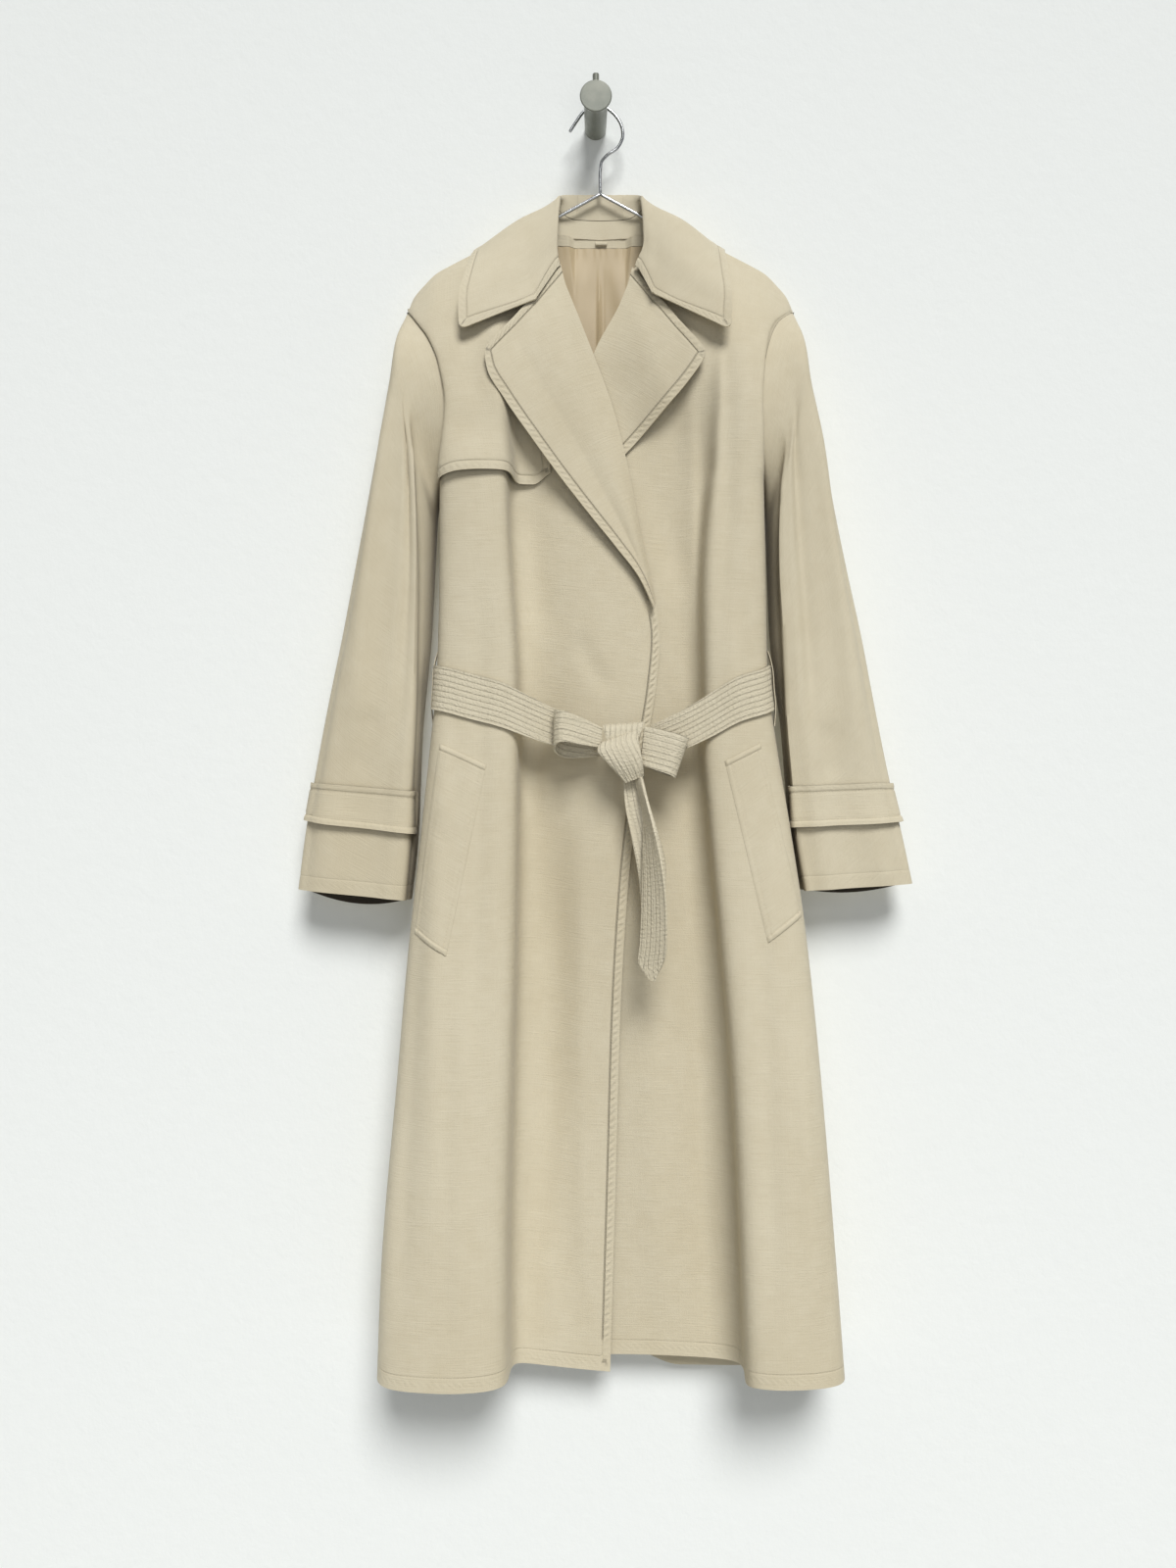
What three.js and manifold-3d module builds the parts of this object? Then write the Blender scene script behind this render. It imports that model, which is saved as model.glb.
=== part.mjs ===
// A belted overcoat on a wire hanger, hung from a wall peg.
// Millimetres, +Z up. +Y points into the wall, so the coat's front faces -Y, and +X is the wearer's left.
// The origin is the middle of the peg's flat back, on the wall.
import * as THREE from "three";
import { mergeVertices } from "three/addons/utils/BufferGeometryUtils.js";
import Module from "manifold-3d";

const wasm = await Module();
wasm.setup();

// ---------------------------------------------------------------- driving sizes

const COAT_X = 5; // the coat's and the hanger's middle, beside the peg's
const SEAM_GAP = 0.3; // between two pieces that are sewn or lie together
const CLOTH = 1.5; // wall of the coat's cloth
const COLLAR_CLOTH = 1.8; // two layers of it
const LAPEL_CLOTH = 1.8;
const BELT_CLOTH = 2.4; // stitched through several layers
const BELT_LAY = 1.4; // the belt's clearance over the coat
const LINING_CLOTH = 1;
const LAY_GAP = 0.8; // under what is sewn on a curved panel
const UNDER_SET = 8; // how far the under front lies behind the over front

const PIT_Z = -398; // bottom of the armhole
const NECK_HALF = 53; // half the neck's width at the shoulder seam
const SEAM_Y = -24; // the shoulder seams lie straight over the hanger's wire
const CHEST_DROP = 170; // height below the shoulder line where the front has its full depth
const BACK_DROP = 110;
const SEAM_CUT = 1.15; // height of a panel's cut edge at the shoulder seam, in thicknesses
const HEM_Z = -1298;

const WIRE_R = 1.75;
const HANGER_Y = -24.8;
const HANGER_TOP = -79.4; // where the arms meet the shank
const ARM_SLOPE = 0.54;
const ARM_REACH = 163;

const PEG = { length: 75, wallR: 11.3, neckR: 12.3, headR: 16.3, flare: 12 };
const PIN = { r: 3.3, top: 27.5, y: -64 };

const CLOTH_COLOUR = new THREE.Color().setRGB(0.6, 0.545, 0.4);
const BELT_COLOUR = new THREE.Color().setRGB(0.63, 0.57, 0.43);
const LINING_COLOUR = new THREE.Color().setRGB(0.5, 0.4, 0.25);
const STEEL_COLOUR = new THREE.Color().setRGB(0.62, 0.63, 0.65);
const PEG_COLOUR = new THREE.Color().setRGB(0.26, 0.26, 0.23);

// ---------------------------------------------------------------- shape tables
// x is counted outwards from the coat's middle, on either side. y is depth, and z is height.

// Top edge of the shoulders.
const SHOULDER = [
  { x: 53, z: -98.8 },
  { x: 100, z: -124 },
  { x: 137, z: -143.5 },
  { x: 160, z: -155.5 },
  { x: 173, z: -163 },
  { x: 186, z: -176 },
  { x: 196, z: -188 },
  { x: 203, z: -204 },
];

// Back neckline, from the centre back to the shoulder seam.
const NECKLINE = [
  { x: 0, z: -125 },
  { x: 25, z: -124 },
  { x: 42, z: -117 },
  { x: 53, z: -98.8 },
];

// One row for each level of a front, from the armhole to the hem. seam is the armhole or side seam, side the
// outline, crest the front of the big fold beside it, fold that fold's inner wall, valley the cloth behind it,
// and soft how gently the wall falls.
const RIGHT_FRONT = [
  { z: -204, seam: 203, seamY: -76, side: 200, crest: -84, fold: 108, valley: -72, soft: 34 },
  { z: -222, seam: 191, seamY: -77, side: 188, crest: -84, fold: 106, valley: -70, soft: 32 },
  { z: -240, seam: 179, seamY: -78, side: 176, crest: -84, fold: 105, valley: -68, soft: 30 },
  { z: -272, seam: 165, seamY: -79, side: 163, crest: -85, fold: 103, valley: -65, soft: 26 },
  { z: -315, seam: 157, seamY: -79, side: 156, crest: -88, fold: 100, valley: -60, soft: 18 },
  { z: -350, seam: 159, seamY: -76, side: 159, crest: -90, fold: 98, valley: -56, soft: 12 },
  { z: -378, seam: 162, seamY: -62, side: 163, crest: -92, fold: 97, valley: -54, soft: 8 },
  { z: -398, seam: 163, seamY: -36, side: 165, crest: -93, fold: 96, valley: -53, soft: 6 },
  { z: -490, seam: 162, seamY: -35, side: 165, crest: -94, fold: 91, valley: -51, soft: 4 },
  { z: -590, seam: 163, seamY: -34, side: 166, crest: -94, fold: 86, valley: -50, soft: 4 },
  { z: -660, seam: 170, seamY: -34, side: 173, crest: -96, fold: 85, valley: -49, soft: 4 },
  { z: -740, seam: 180, seamY: -35, side: 183, crest: -99, fold: 85, valley: -48, soft: 4 },
  { z: -850, seam: 193, seamY: -36, side: 196, crest: -104, fold: 86, valley: -47, soft: 4 },
  { z: -1000, seam: 205, seamY: -37, side: 208, crest: -110, fold: 90, valley: -46, soft: 4 },
  { z: -1190, seam: 219, seamY: -38, side: 223, crest: -117, fold: 94, valley: -45, soft: 4 },
  { z: -1300, seam: 223, seamY: -38, side: 227, crest: -120, fold: 94, valley: -45, soft: 4 },
];
const LEFT_FRONT = [
  { z: -204, seam: 203, seamY: -76, side: 200, crest: -84, fold: 124, valley: -72, soft: 36 },
  { z: -222, seam: 184, seamY: -77, side: 181, crest: -84, fold: 123, valley: -70, soft: 34 },
  { z: -240, seam: 175, seamY: -78, side: 172, crest: -84, fold: 122, valley: -68, soft: 30 },
  { z: -272, seam: 167, seamY: -79, side: 165, crest: -85, fold: 120, valley: -65, soft: 25 },
  { z: -315, seam: 163, seamY: -79, side: 162, crest: -88, fold: 118, valley: -60, soft: 17 },
  { z: -350, seam: 164, seamY: -76, side: 164, crest: -90, fold: 116, valley: -56, soft: 11 },
  { z: -378, seam: 165, seamY: -62, side: 166, crest: -91, fold: 115, valley: -54, soft: 8 },
  { z: -398, seam: 165, seamY: -36, side: 167, crest: -92, fold: 113, valley: -53, soft: 6 },
  { z: -490, seam: 166, seamY: -35, side: 169, crest: -93, fold: 108, valley: -51, soft: 3 },
  { z: -590, seam: 168, seamY: -34, side: 171, crest: -93, fold: 106, valley: -50, soft: 2 },
  { z: -660, seam: 177, seamY: -34, side: 180, crest: -95, fold: 105, valley: -49, soft: 1 },
  { z: -740, seam: 190, seamY: -35, side: 193, crest: -98, fold: 110, valley: -48, soft: 0 },
  { z: -850, seam: 206, seamY: -36, side: 209, crest: -103, fold: 120, valley: -47, soft: -2 },
  { z: -1000, seam: 221, seamY: -37, side: 224, crest: -110, fold: 132, valley: -46, soft: -3 },
  { z: -1190, seam: 235, seamY: -38, side: 239, crest: -116, fold: 141, valley: -45, soft: -4 },
  { z: -1300, seam: 243, seamY: -38, side: 247, crest: -119, fold: 145, valley: -45, soft: -4 },
];

// Depth of the fronts half way between the two big folds: they belly out above and below the belt.
const MIDDLE = [
  { z: -204, y: -66 },
  { z: -300, y: -63 },
  { z: -390, y: -65 },
  { z: -550, y: -71 },
  { z: -640, y: -73 },
  { z: -750, y: -69 },
  { z: -900, y: -59 },
  { z: -1100, y: -51 },
  { z: -1300, y: -46 },
];

// Free edge of each front, from the neck down: the lapel's roll as far as the break, then the front edge.
// x is counted across the whole coat here, towards the wearer's left.
const OVER_EDGE = [
  { z: -98, x: -53 },
  { z: -130, x: -50 },
  { z: -168, x: -42 },
  { z: -228, x: -20 },
  { z: -264, x: -6 },
  { z: -310, x: 11 },
  { z: -358, x: 24 },
  { z: -440, x: 41 },
  { z: -517, x: 57 },
  { z: -551, x: 61 },
  { z: -598, x: 57 },
  { z: -700, x: 40 },
  { z: -819, x: 27 },
  { z: -949, x: 20 },
  { z: -1099, x: 16 },
  { z: -1310, x: 10 },
];
const UNDER_EDGE = [
  { z: -98, x: 53 },
  { z: -130, x: 49 },
  { z: -168, x: 34 },
  { z: -207, x: 19 },
  { z: -258, x: -7 },
  { z: -310, x: -21 },
  { z: -380, x: -35 },
  { z: -440, x: -46 },
  { z: -517, x: -60 },
  { z: -551, x: -64 },
  { z: -700, x: -44 },
  { z: -1300, x: -12 },
];

// Lapels, from the gorge to the break: the height on the roll, the outer edge, and how far the middle sags.
const OVER_LAPEL = [
  { roll: -171, x: -118, y: -92.5, z: -262, sag: 11 },
  { roll: -190, x: -114, y: -93, z: -284, sag: 3 },
  { roll: -228, x: -96, y: -91, z: -314, sag: 0 },
  { roll: -264, x: -71, y: -87, z: -349, sag: 0 },
  { roll: -310, x: -41, y: -81, z: -389, sag: 0 },
  { roll: -358, x: -11, y: -79, z: -427, sag: 0 },
  { roll: -408, x: 16, y: -78, z: -460, sag: 0 },
  { roll: -462, x: 39, y: -77, z: -490, sag: 0 },
  { roll: -512, x: 54.5, y: -75, z: -521, sag: 0 },
];
const UNDER_LAPEL = [
  { roll: -171, x: 108, y: -83, z: -262, sag: 9 },
  { roll: -186, x: 100, y: -82, z: -276, sag: 3 },
  { roll: -207, x: 84, y: -79, z: -297, sag: 0 },
  { roll: -232, x: 63, y: -75, z: -320, sag: 0 },
  { roll: -258, x: 40, y: -71, z: -345, sag: 0 },
  { roll: -310, x: 5, y: -62, z: -385, sag: 0 },
  { roll: -380, x: -25, y: -60, z: -430, sag: 0 },
  { roll: -450, x: -44, y: -60, z: -480, sag: 0 },
  { roll: -510, x: -56.5, y: -60, z: -520, sag: 0 },
];

// Collar, from the centre back (a = 0) to the gorge (a = 7): the neck seam (n) and the roll (r), then the middle
// of the fall (m) and its edge (e).
const COLLAR_STAND = [
  { a: 0, nx: 0, ny: -15.6, nz: -124, rx: 0, ry: -13, rz: -75 },
  { a: 1, nx: 26, ny: -16.8, nz: -122.5, rx: 24, ry: -14.5, rz: -75.5 },
  { a: 2, nx: 43, ny: -21, nz: -112, rx: 37, ry: -19, rz: -77.5 },
  { a: 3, nx: 52, ny: -24, nz: -95.5, rx: 42, ry: -29, rz: -82.5 },
  { a: 4, nx: 48.5, ny: -32, nz: -110, rx: 43, ry: -42, rz: -88.5 },
  { a: 5, nx: 46, ny: -42, nz: -133, rx: 45, ry: -54, rz: -115 },
  { a: 6, nx: 43, ny: -50, nz: -154, rx: 45.5, ry: -59, rz: -144 },
  { a: 7, nx: 41, ny: -53, nz: -167, rx: 41.5, ry: -60, rz: -167 },
];
const COLLAR_FALL = [
  { a: 0, mx: 0, my: -7.5, mz: -108, ex: 0, ey: -5.5, ez: -150 },
  { a: 1, mx: 34, my: -8, mz: -108, ex: 62, ey: -5.5, ez: -153 },
  { a: 2, mx: 66, my: -9, mz: -108, ex: 108, ey: -9, ez: -150 },
  { a: 3, mx: 84, my: -22, mz: -109, ex: 131, ey: -20, ez: -136 },
  { a: 4, mx: 86, my: -39, mz: -112, ex: 134, ey: -38, ez: -146 },
  { a: 5, mx: 90, my: -62, mz: -147, ex: 139, ey: -68, ez: -176 },
  { a: 6, mx: 90, my: -75, mz: -184, ex: 144, ey: -86, ez: -212 },
  { a: 7, mx: 74, my: -74, mz: -206, ex: 143, ey: -91, ez: -243 },
];
const STAND_SHARE = 0.42; // the stand's share of the height from neck seam to roll

// Sleeves, from the armhole (k = 0) to the cuff: the outer and inner line, the depth in front and behind, how far
// across the crease lies, how much of the fold beside it has formed, and the cuff's dip at the back.
const RIGHT_SLEEVE = [
  { k: 0, outX: 203, outZ: -204, inX: 165, inZ: -398, front: -76, back: -15, crease: 0.42, fold: 0, dip: 0 },
  { k: 1, outX: 211, outZ: -240, inX: 168.7, inZ: -420, front: -77, back: -13, crease: 0.45, fold: 0.15, dip: 0 },
  { k: 2, outX: 218, outZ: -288, inX: 170.4, inZ: -444, front: -82, back: -12, crease: 0.6, fold: 0.5, dip: 0 },
  { k: 3, outX: 229, outZ: -345, inX: 172, inZ: -470, front: -82, back: -12, crease: 0.75, fold: 0.85, dip: 0 },
  { k: 4, outX: 242, outZ: -412, inX: 174, inZ: -503, front: -80, back: -12, crease: 0.84, fold: 1, dip: 0 },
  { k: 5, outX: 255, outZ: -480, inX: 176.5, inZ: -545, front: -78, back: -12, crease: 0.89, fold: 1, dip: 0 },
  { k: 6, outX: 268, outZ: -548, inX: 181, inZ: -592, front: -76, back: -12, crease: 0.945, fold: 1, dip: 0 },
  { k: 7, outX: 282, outZ: -616, inX: 186, inZ: -642, front: -74, back: -13, crease: 1, fold: 1, dip: 0 },
  { k: 8, outX: 295, outZ: -684, inX: 188.5, inZ: -695, front: -70, back: -14, crease: 1, fold: 1, dip: 2 },
  { k: 9, outX: 306, outZ: -748, inX: 191.3, inZ: -757, front: -66, back: -16, crease: 1, fold: 1, dip: 6 },
  { k: 10, outX: 314, outZ: -809, inX: 198, inZ: -820, front: -63, back: -19, crease: 1, fold: 1, dip: 12 },
];
const LEFT_SLEEVE = [
  { k: 0, outX: 203, outZ: -204, inX: 167, inZ: -398, front: -76, back: -15, crease: 0.5, fold: 0, dip: 0 },
  { k: 1, outX: 210, outZ: -240, inX: 170.7, inZ: -420, front: -77, back: -13, crease: 0.6, fold: 0.15, dip: 0 },
  { k: 2, outX: 217, outZ: -288, inX: 172.4, inZ: -444, front: -82, back: -12, crease: 0.75, fold: 0.5, dip: 0 },
  { k: 3, outX: 229, outZ: -345, inX: 173.5, inZ: -470, front: -82, back: -12, crease: 0.85, fold: 0.85, dip: 0 },
  { k: 4, outX: 241, outZ: -412, inX: 175, inZ: -503, front: -80, back: -12, crease: 0.89, fold: 1, dip: 0 },
  { k: 5, outX: 255, outZ: -480, inX: 177, inZ: -545, front: -78, back: -12, crease: 0.9, fold: 1, dip: 0 },
  { k: 6, outX: 270, outZ: -548, inX: 182, inZ: -592, front: -76, back: -12, crease: 0.94, fold: 1, dip: 0 },
  { k: 7, outX: 283, outZ: -616, inX: 189, inZ: -642, front: -74, back: -13, crease: 1, fold: 1, dip: 0 },
  { k: 8, outX: 297, outZ: -684, inX: 193.5, inZ: -695, front: -70, back: -14, crease: 1, fold: 1, dip: 1 },
  { k: 9, outX: 312, outZ: -748, inX: 198.5, inZ: -753, front: -66, back: -16, crease: 1, fold: 1, dip: 4 },
  { k: 10, outX: 324, outZ: -803, inX: 209, inZ: -810, front: -63, back: -19, crease: 1, fold: 1, dip: 8 },
];
const SLEEVE_RINGS = 10;

// Back, from the armhole to the hem: its armhole or side seam.
const BACK_SEAM = [
  { z: -204, x: 203, y: -24 },
  { z: -240, x: 187, y: -19 },
  { z: -300, x: 173, y: -16 },
  { z: -350, x: 169, y: -18 },
  { z: -380, x: 167, y: -25 },
  { z: -398, x: 164, y: -35.4 },
];
// Soft folds that run down the back, as deep as this, in from the wall.
const BACK_FOLDS = [
  { x: -120, deep: 7, wide: 32 },
  { x: -38, deep: 5, wide: 26 },
  { x: 52, deep: 6, wide: 30 },
  { x: 135, deep: 7, wide: 30 },
];
const BACK_Y = -11;

// ---------------------------------------------------------------- curves

const mix = (a, b, t) => a + (b - a) * t;
const clamp = (x, low, high) => Math.min(high, Math.max(low, x));
const smooth = (t) => clamp(t, 0, 1) ** 2 * (3 - 2 * clamp(t, 0, 1));
const point = (x, y, z) => new THREE.Vector3(x, y, z);
const range = (n) => Array.from({ length: n }, (_, i) => i);

// Every column of a table at one value of its key, on a curve that never overshoots its rows.
function read(table, key, value) {
  const rows = table[0][key] < table.at(-1)[key] ? table : [...table].reverse();
  const at = clamp(value, rows[0][key], rows.at(-1)[key]);
  const i = clamp(rows.findLastIndex((row) => row[key] <= at), 0, rows.length - 2);
  const width = (j) => rows[j + 1][key] - rows[j][key];
  const t = (at - rows[i][key]) / width(i);
  const found = {};
  for (const name of Object.keys(rows[0])) {
    const rise = (j) => (rows[j + 1][name] - rows[j][name]) / width(j);
    const slope = (j) => {
      if (j === 0) return rise(0);
      if (j === rows.length - 1) return rise(j - 1);
      const before = rise(j - 1);
      const after = rise(j);
      return before * after <= 0 ? 0 : (2 * before * after) / (before + after);
    };
    const from = rows[i][name];
    const to = rows[i + 1][name];
    const h = width(i);
    found[name] =
      from * (1 + 2 * t) * (1 - t) ** 2 +
      slope(i) * h * t * (1 - t) ** 2 +
      to * t * t * (3 - 2 * t) +
      slope(i + 1) * h * t * t * (t - 1);
  }
  return found;
}

// A point on the uniform cubic B-spline of [x, y] controls. An open one starts and ends on its end controls.
function spline(controls, t, closed = false) {
  const n = controls.length;
  const control = (i) => {
    if (closed) return controls[(i + n) % n];
    if (i < 0) return controls[0].map((c, axis) => 2 * c - controls[1][axis]);
    if (i >= n) return controls[n - 1].map((c, axis) => 2 * c - controls[n - 2][axis]);
    return controls[i];
  };
  const i = closed ? Math.floor(t) : clamp(Math.floor(t), 0, n - 2);
  const f = t - i;
  const weights = [(1 - f) ** 3, 3 * f ** 3 - 6 * f * f + 4, -3 * f ** 3 + 3 * f * f + 3 * f + 1, f ** 3];
  return [0, 1].map((axis) => weights.reduce((sum, w, j) => sum + (w * control(i + j - 1)[axis]) / 6, 0));
}

// A curve through points, which doesn't overshoot where they crowd: returns the point at a share of its length.
function through(points) {
  const n = points.length;
  const steps = range(n - 1).map((i) => points[i].distanceTo(points[i + 1]));
  const rise = (i) => points[i + 1].clone().sub(points[i]).divideScalar(steps[i]);
  const tangents = points.map((_, i) => {
    if (i === 0) return rise(0);
    if (i === n - 1) return rise(n - 2);
    const total = steps[i - 1] + steps[i];
    return rise(i).multiplyScalar(steps[i - 1] / total).addScaledVector(rise(i - 1), steps[i] / total);
  });
  const total = steps.reduce((sum, step) => sum + step, 0);
  return (share) => {
    let i = 0;
    let s = clamp(share, 0, 1) * total;
    while (i < n - 2 && s > steps[i]) s -= steps[i++];
    const h = steps[i];
    const t = s / h;
    return points[i]
      .clone()
      .multiplyScalar((1 + 2 * t) * (1 - t) ** 2)
      .addScaledVector(tangents[i], h * t * (1 - t) ** 2)
      .addScaledVector(points[i + 1], t * t * (3 - 2 * t))
      .addScaledVector(tangents[i + 1], h * t * t * (t - 1));
  };
}

// The value between low and high where a rising function reaches a target.
function solve(f, target, low, high) {
  for (let i = 0; i < 40; i++) {
    const middle = (low + high) / 2;
    if (f(middle) < target) low = middle;
    else high = middle;
  }
  return (low + high) / 2;
}

// ---------------------------------------------------------------- walls

// Normals of a grid of points, pointing to the side from which its rows run up and its columns run right.
function gridNormals(grid, closed) {
  const rows = grid.length;
  const columns = grid[0].length;
  return grid.map((row, i) =>
    row.map((_, j) => {
      const up = grid[Math.min(i + 1, rows - 1)][j].clone().sub(grid[Math.max(i - 1, 0)][j]);
      const right = closed
        ? row[(j + 1) % columns].clone().sub(row[(j + columns - 1) % columns])
        : row[Math.min(j + 1, columns - 1)].clone().sub(row[Math.max(j - 1, 0)]);
      return right.cross(up).normalize();
    }),
  );
}

// Closed body between two grids of the same size: the outer face and the inner one.
function bodyBetween(outer, inner, closed = false) {
  const rows = outer.length;
  const columns = outer[0].length;
  const count = rows * columns;
  const triangles = [];
  const quad = (a, b, c, d) => triangles.push(a, b, c, a, c, d);
  const id = (i, j, side) => side * count + i * columns + (j % columns);
  const last = closed ? columns : columns - 1;
  for (let i = 0; i < rows - 1; i++)
    for (let j = 0; j < last; j++) {
      quad(id(i, j, 0), id(i, j + 1, 0), id(i + 1, j + 1, 0), id(i + 1, j, 0));
      quad(id(i, j, 1), id(i + 1, j, 1), id(i + 1, j + 1, 1), id(i, j + 1, 1));
    }
  for (let j = 0; j < last; j++) {
    quad(id(0, j, 0), id(0, j, 1), id(0, j + 1, 1), id(0, j + 1, 0));
    quad(id(rows - 1, j, 0), id(rows - 1, j + 1, 0), id(rows - 1, j + 1, 1), id(rows - 1, j, 1));
  }
  if (!closed)
    for (let i = 0; i < rows - 1; i++) {
      quad(id(i, 0, 0), id(i + 1, 0, 0), id(i + 1, 0, 1), id(i, 0, 1));
      quad(id(i, last, 0), id(i, last, 1), id(i + 1, last, 1), id(i + 1, last, 0));
    }
  const geometry = new THREE.BufferGeometry();
  const flat = [...outer, ...inner].flat().flatMap((p) => [p.x, p.y, p.z]);
  geometry.setAttribute("position", new THREE.Float32BufferAttribute(flat, 3));
  geometry.setIndex(signedVolume(flat, triangles) < 0 ? triangles.reverse() : triangles);
  return geometry;
}

function signedVolume(flat, triangles) {
  const corner = (i) => point(flat[3 * i], flat[3 * i + 1], flat[3 * i + 2]);
  let sum = 0;
  for (let i = 0; i < triangles.length; i += 3)
    sum += corner(triangles[i]).dot(corner(triangles[i + 1]).cross(corner(triangles[i + 2])));
  return sum / 6;
}

// Wall of cloth behind a grid of its outer points. Where two sloping panels meet at a seam on top, the last row
// is cut straight down: seamAt is 1 there, and 0 where the edge is free.
function wall(grid, thickness, { closed = false, seamAt = () => 0, facing = -1 } = {}) {
  const normals = gridNormals(grid, closed);
  const inner = grid.map((row, i) =>
    row.map((p, j) => {
      const inwards = normals[i][j].clone().multiplyScalar(thickness * facing);
      const seam = i === grid.length - 1 ? seamAt(p) : 0;
      return p.clone().add(inwards.lerp(point(0, 0, -thickness * SEAM_CUT), seam));
    }),
  );
  return bodyBetween(grid, inner, closed);
}

// ---------------------------------------------------------------- the coat's own surfaces

const shoulderZ = (x) => read(SHOULDER, "x", Math.abs(x)).z;

const VALLEY_WIDE = 20; // of level cloth behind a big fold

// Controls of one front's section at a height, from its seam to the cloth behind its big fold.
function sideControls(table, z, sign) {
  const { seam, seamY, side, crest, fold, valley, soft } = read(table, "z", z);
  const wide = side - fold;
  const deep = seamY - crest;
  const drop = valley - crest;
  // Across in shares of the column's width, and forward in shares of its depth and of its step down.
  const shape = [
    [seam, seamY],
    [side, seamY - 0.3 * deep],
    [side, seamY - 0.72 * deep],
    [side - 0.13 * wide, crest + 0.1 * deep],
    [side - 0.45 * wide, crest],
    [fold + 0.2 * wide, crest],
    [fold - 1, crest + 0.1 * drop],
    [fold - 0.3 * soft, crest + 0.55 * drop],
    [fold - soft, valley - 0.06 * drop],
    [fold - VALLEY_WIDE - soft, valley],
  ];
  return shape.map(([x, y]) => [sign * x, y]);
}
const SIDE_CONTROLS = 10;
const MIDDLE_SHARES = [0.25, 0.5, 0.75];
// How much of UNDER_SET each control of the under front takes, from the middle out to its seam.
const SET_SHARES = [1, 1, 1, 0.9, 0.75, 0.45, 0.15, 0, 0, 0, 0, 0, 0];

// Controls of the whole front at a height, from the right side seam to the left.
function frontControls(z, under) {
  const right = sideControls(RIGHT_FRONT, z, -1);
  const left = sideControls(LEFT_FRONT, z, 1).reverse();
  const middleY = read(MIDDLE, "z", z).y;
  const from = right.at(-1);
  const to = left[0];
  const middle = MIDDLE_SHARES.map((share) => {
    const level = mix(from[1], to[1], share);
    return [mix(from[0], to[0], share), mix(level, middleY, 1 - (2 * share - 1) ** 2 * 0.6)];
  });
  const controls = [...right, ...middle, ...left];
  if (!under) return controls;
  return controls.map(([x, y], i) => [x, y + UNDER_SET * (SET_SHARES[i - SIDE_CONTROLS] ?? 1)]);
}
const FRONT_END = 2 * SIDE_CONTROLS + MIDDLE_SHARES.length - 1;
const MIDDLE_START = SIDE_CONTROLS - 1;
const MIDDLE_END = FRONT_END - MIDDLE_START;

// How much of its depth the cloth has at a height below the shoulder line.
const fullness = (x, z, drop) => 1 - (1 - clamp((shoulderZ(x) - z) / drop, 0, 1)) ** 2;

// A point of the front's outer face, t along the section.
function frontPoint(t, z, under = false) {
  const [x, y] = spline(frontControls(z, under), t);
  return point(x + COAT_X, mix(SEAM_Y - SEAM_GAP / 2, y, fullness(x, z, CHEST_DROP)), z);
}

function frontNormal(t, z, under = false) {
  const along = frontPoint(t + 0.05, z, under).sub(frontPoint(t - 0.05, z, under));
  const up = frontPoint(t, z + 2, under).sub(frontPoint(t, z - 2, under));
  return along.cross(up).normalize();
}

const frontOut = (t, z, out, under = false) =>
  frontPoint(t, z, under).addScaledVector(frontNormal(t, z, under), out);

// The section place t of a given x in the middle of the front, or on one of its big folds.
function middleT(x, z, under = false) {
  return solve(sectionX(z, under), x, MIDDLE_START - 1, MIDDLE_END + 1);
}
// Section places on top of a big fold, counted from its seam.
const ON_FOLD = { from: 2.2, to: 6 };
const sectionX = (z, under) => (t) => spline(frontControls(z, under), t)[0];
const rightFoldT = (x, z) => solve(sectionX(z, false), x, ON_FOLD.from, ON_FOLD.to);
const leftFoldT = (x, z) => solve(sectionX(z, true), x, FRONT_END - ON_FOLD.to, FRONT_END - ON_FOLD.from);

const overEdgeX = (z) => read(OVER_EDGE, "z", z).x;
const underEdgeX = (z) => read(UNDER_EDGE, "z", z).x;
const overY = (x, z) => frontPoint(middleT(x, z), z).y;
const underY = (x, z) => frontPoint(middleT(x, z, true), z, true).y;

// Heights of a panel's rows below the armhole, and shares of the way from there to its top edge.
const LEVELS = [-1200, -1085, -965, -850, -755, -680, -620, -560, -490, -440, PIT_Z];
const UPPER = [0.12, 0.28, 0.44, 0.58, 0.7, 0.79, 0.87, 0.94, 1];

// Hem of each front, by its place between seam and free edge.
const OVER_HEM = [
  { u: 0, z: -1291 },
  { u: 0.15, z: -1298 },
  { u: 0.3, z: -1301 },
  { u: 0.4, z: -1301 },
  { u: 0.6, z: -1298 },
  { u: 0.7, z: -1298 },
  { u: 1, z: -1310 },
];
const UNDER_HEM = [
  { u: 0, z: -1294 },
  { u: 0.15, z: -1298 },
  { u: 0.45, z: -1298 },
  { u: 0.6, z: -1303 },
  { u: 0.95, z: -1295 },
  { u: 1, z: -1295 },
];
const overHemZ = (u) => read(OVER_HEM, "u", u).z;
const underHemZ = (u) => read(UNDER_HEM, "u", u).z;

// Places across a front from its seam to its free edge: closer together round the big fold.
function overPoint(u, z) {
  return frontPoint(u * middleT(overEdgeX(z), z), z);
}
function underPoint(u, z) {
  return frontPoint(mix(FRONT_END, middleT(underEdgeX(z), z, true), u), z, true);
}

const TOP_GUESS = -150; // height from which the search for a top edge starts
const TOP_STEPS = 12;

// Height of a front's top edge at a place across it.
function topZ(pointAt, u) {
  let z = TOP_GUESS;
  for (let i = 0; i < TOP_STEPS; i++) z = shoulderZ(pointAt(u, z).x - COAT_X);
  return z;
}

function frontGrid(pointAt, hemZ, columns, mirrored) {
  const row = (zAt) =>
    range(columns).map((j) => {
      const u = j / (columns - 1);
      return pointAt(mirrored ? 1 - u : u, zAt(mirrored ? 1 - u : u));
    });
  return [
    row(hemZ),
    ...LEVELS.map((z) => row(() => z)),
    ...UPPER.map((share) => row((u) => mix(PIT_Z, topZ(pointAt, u), share))),
  ];
}

// ---------------------------------------------------------------- back

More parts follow.
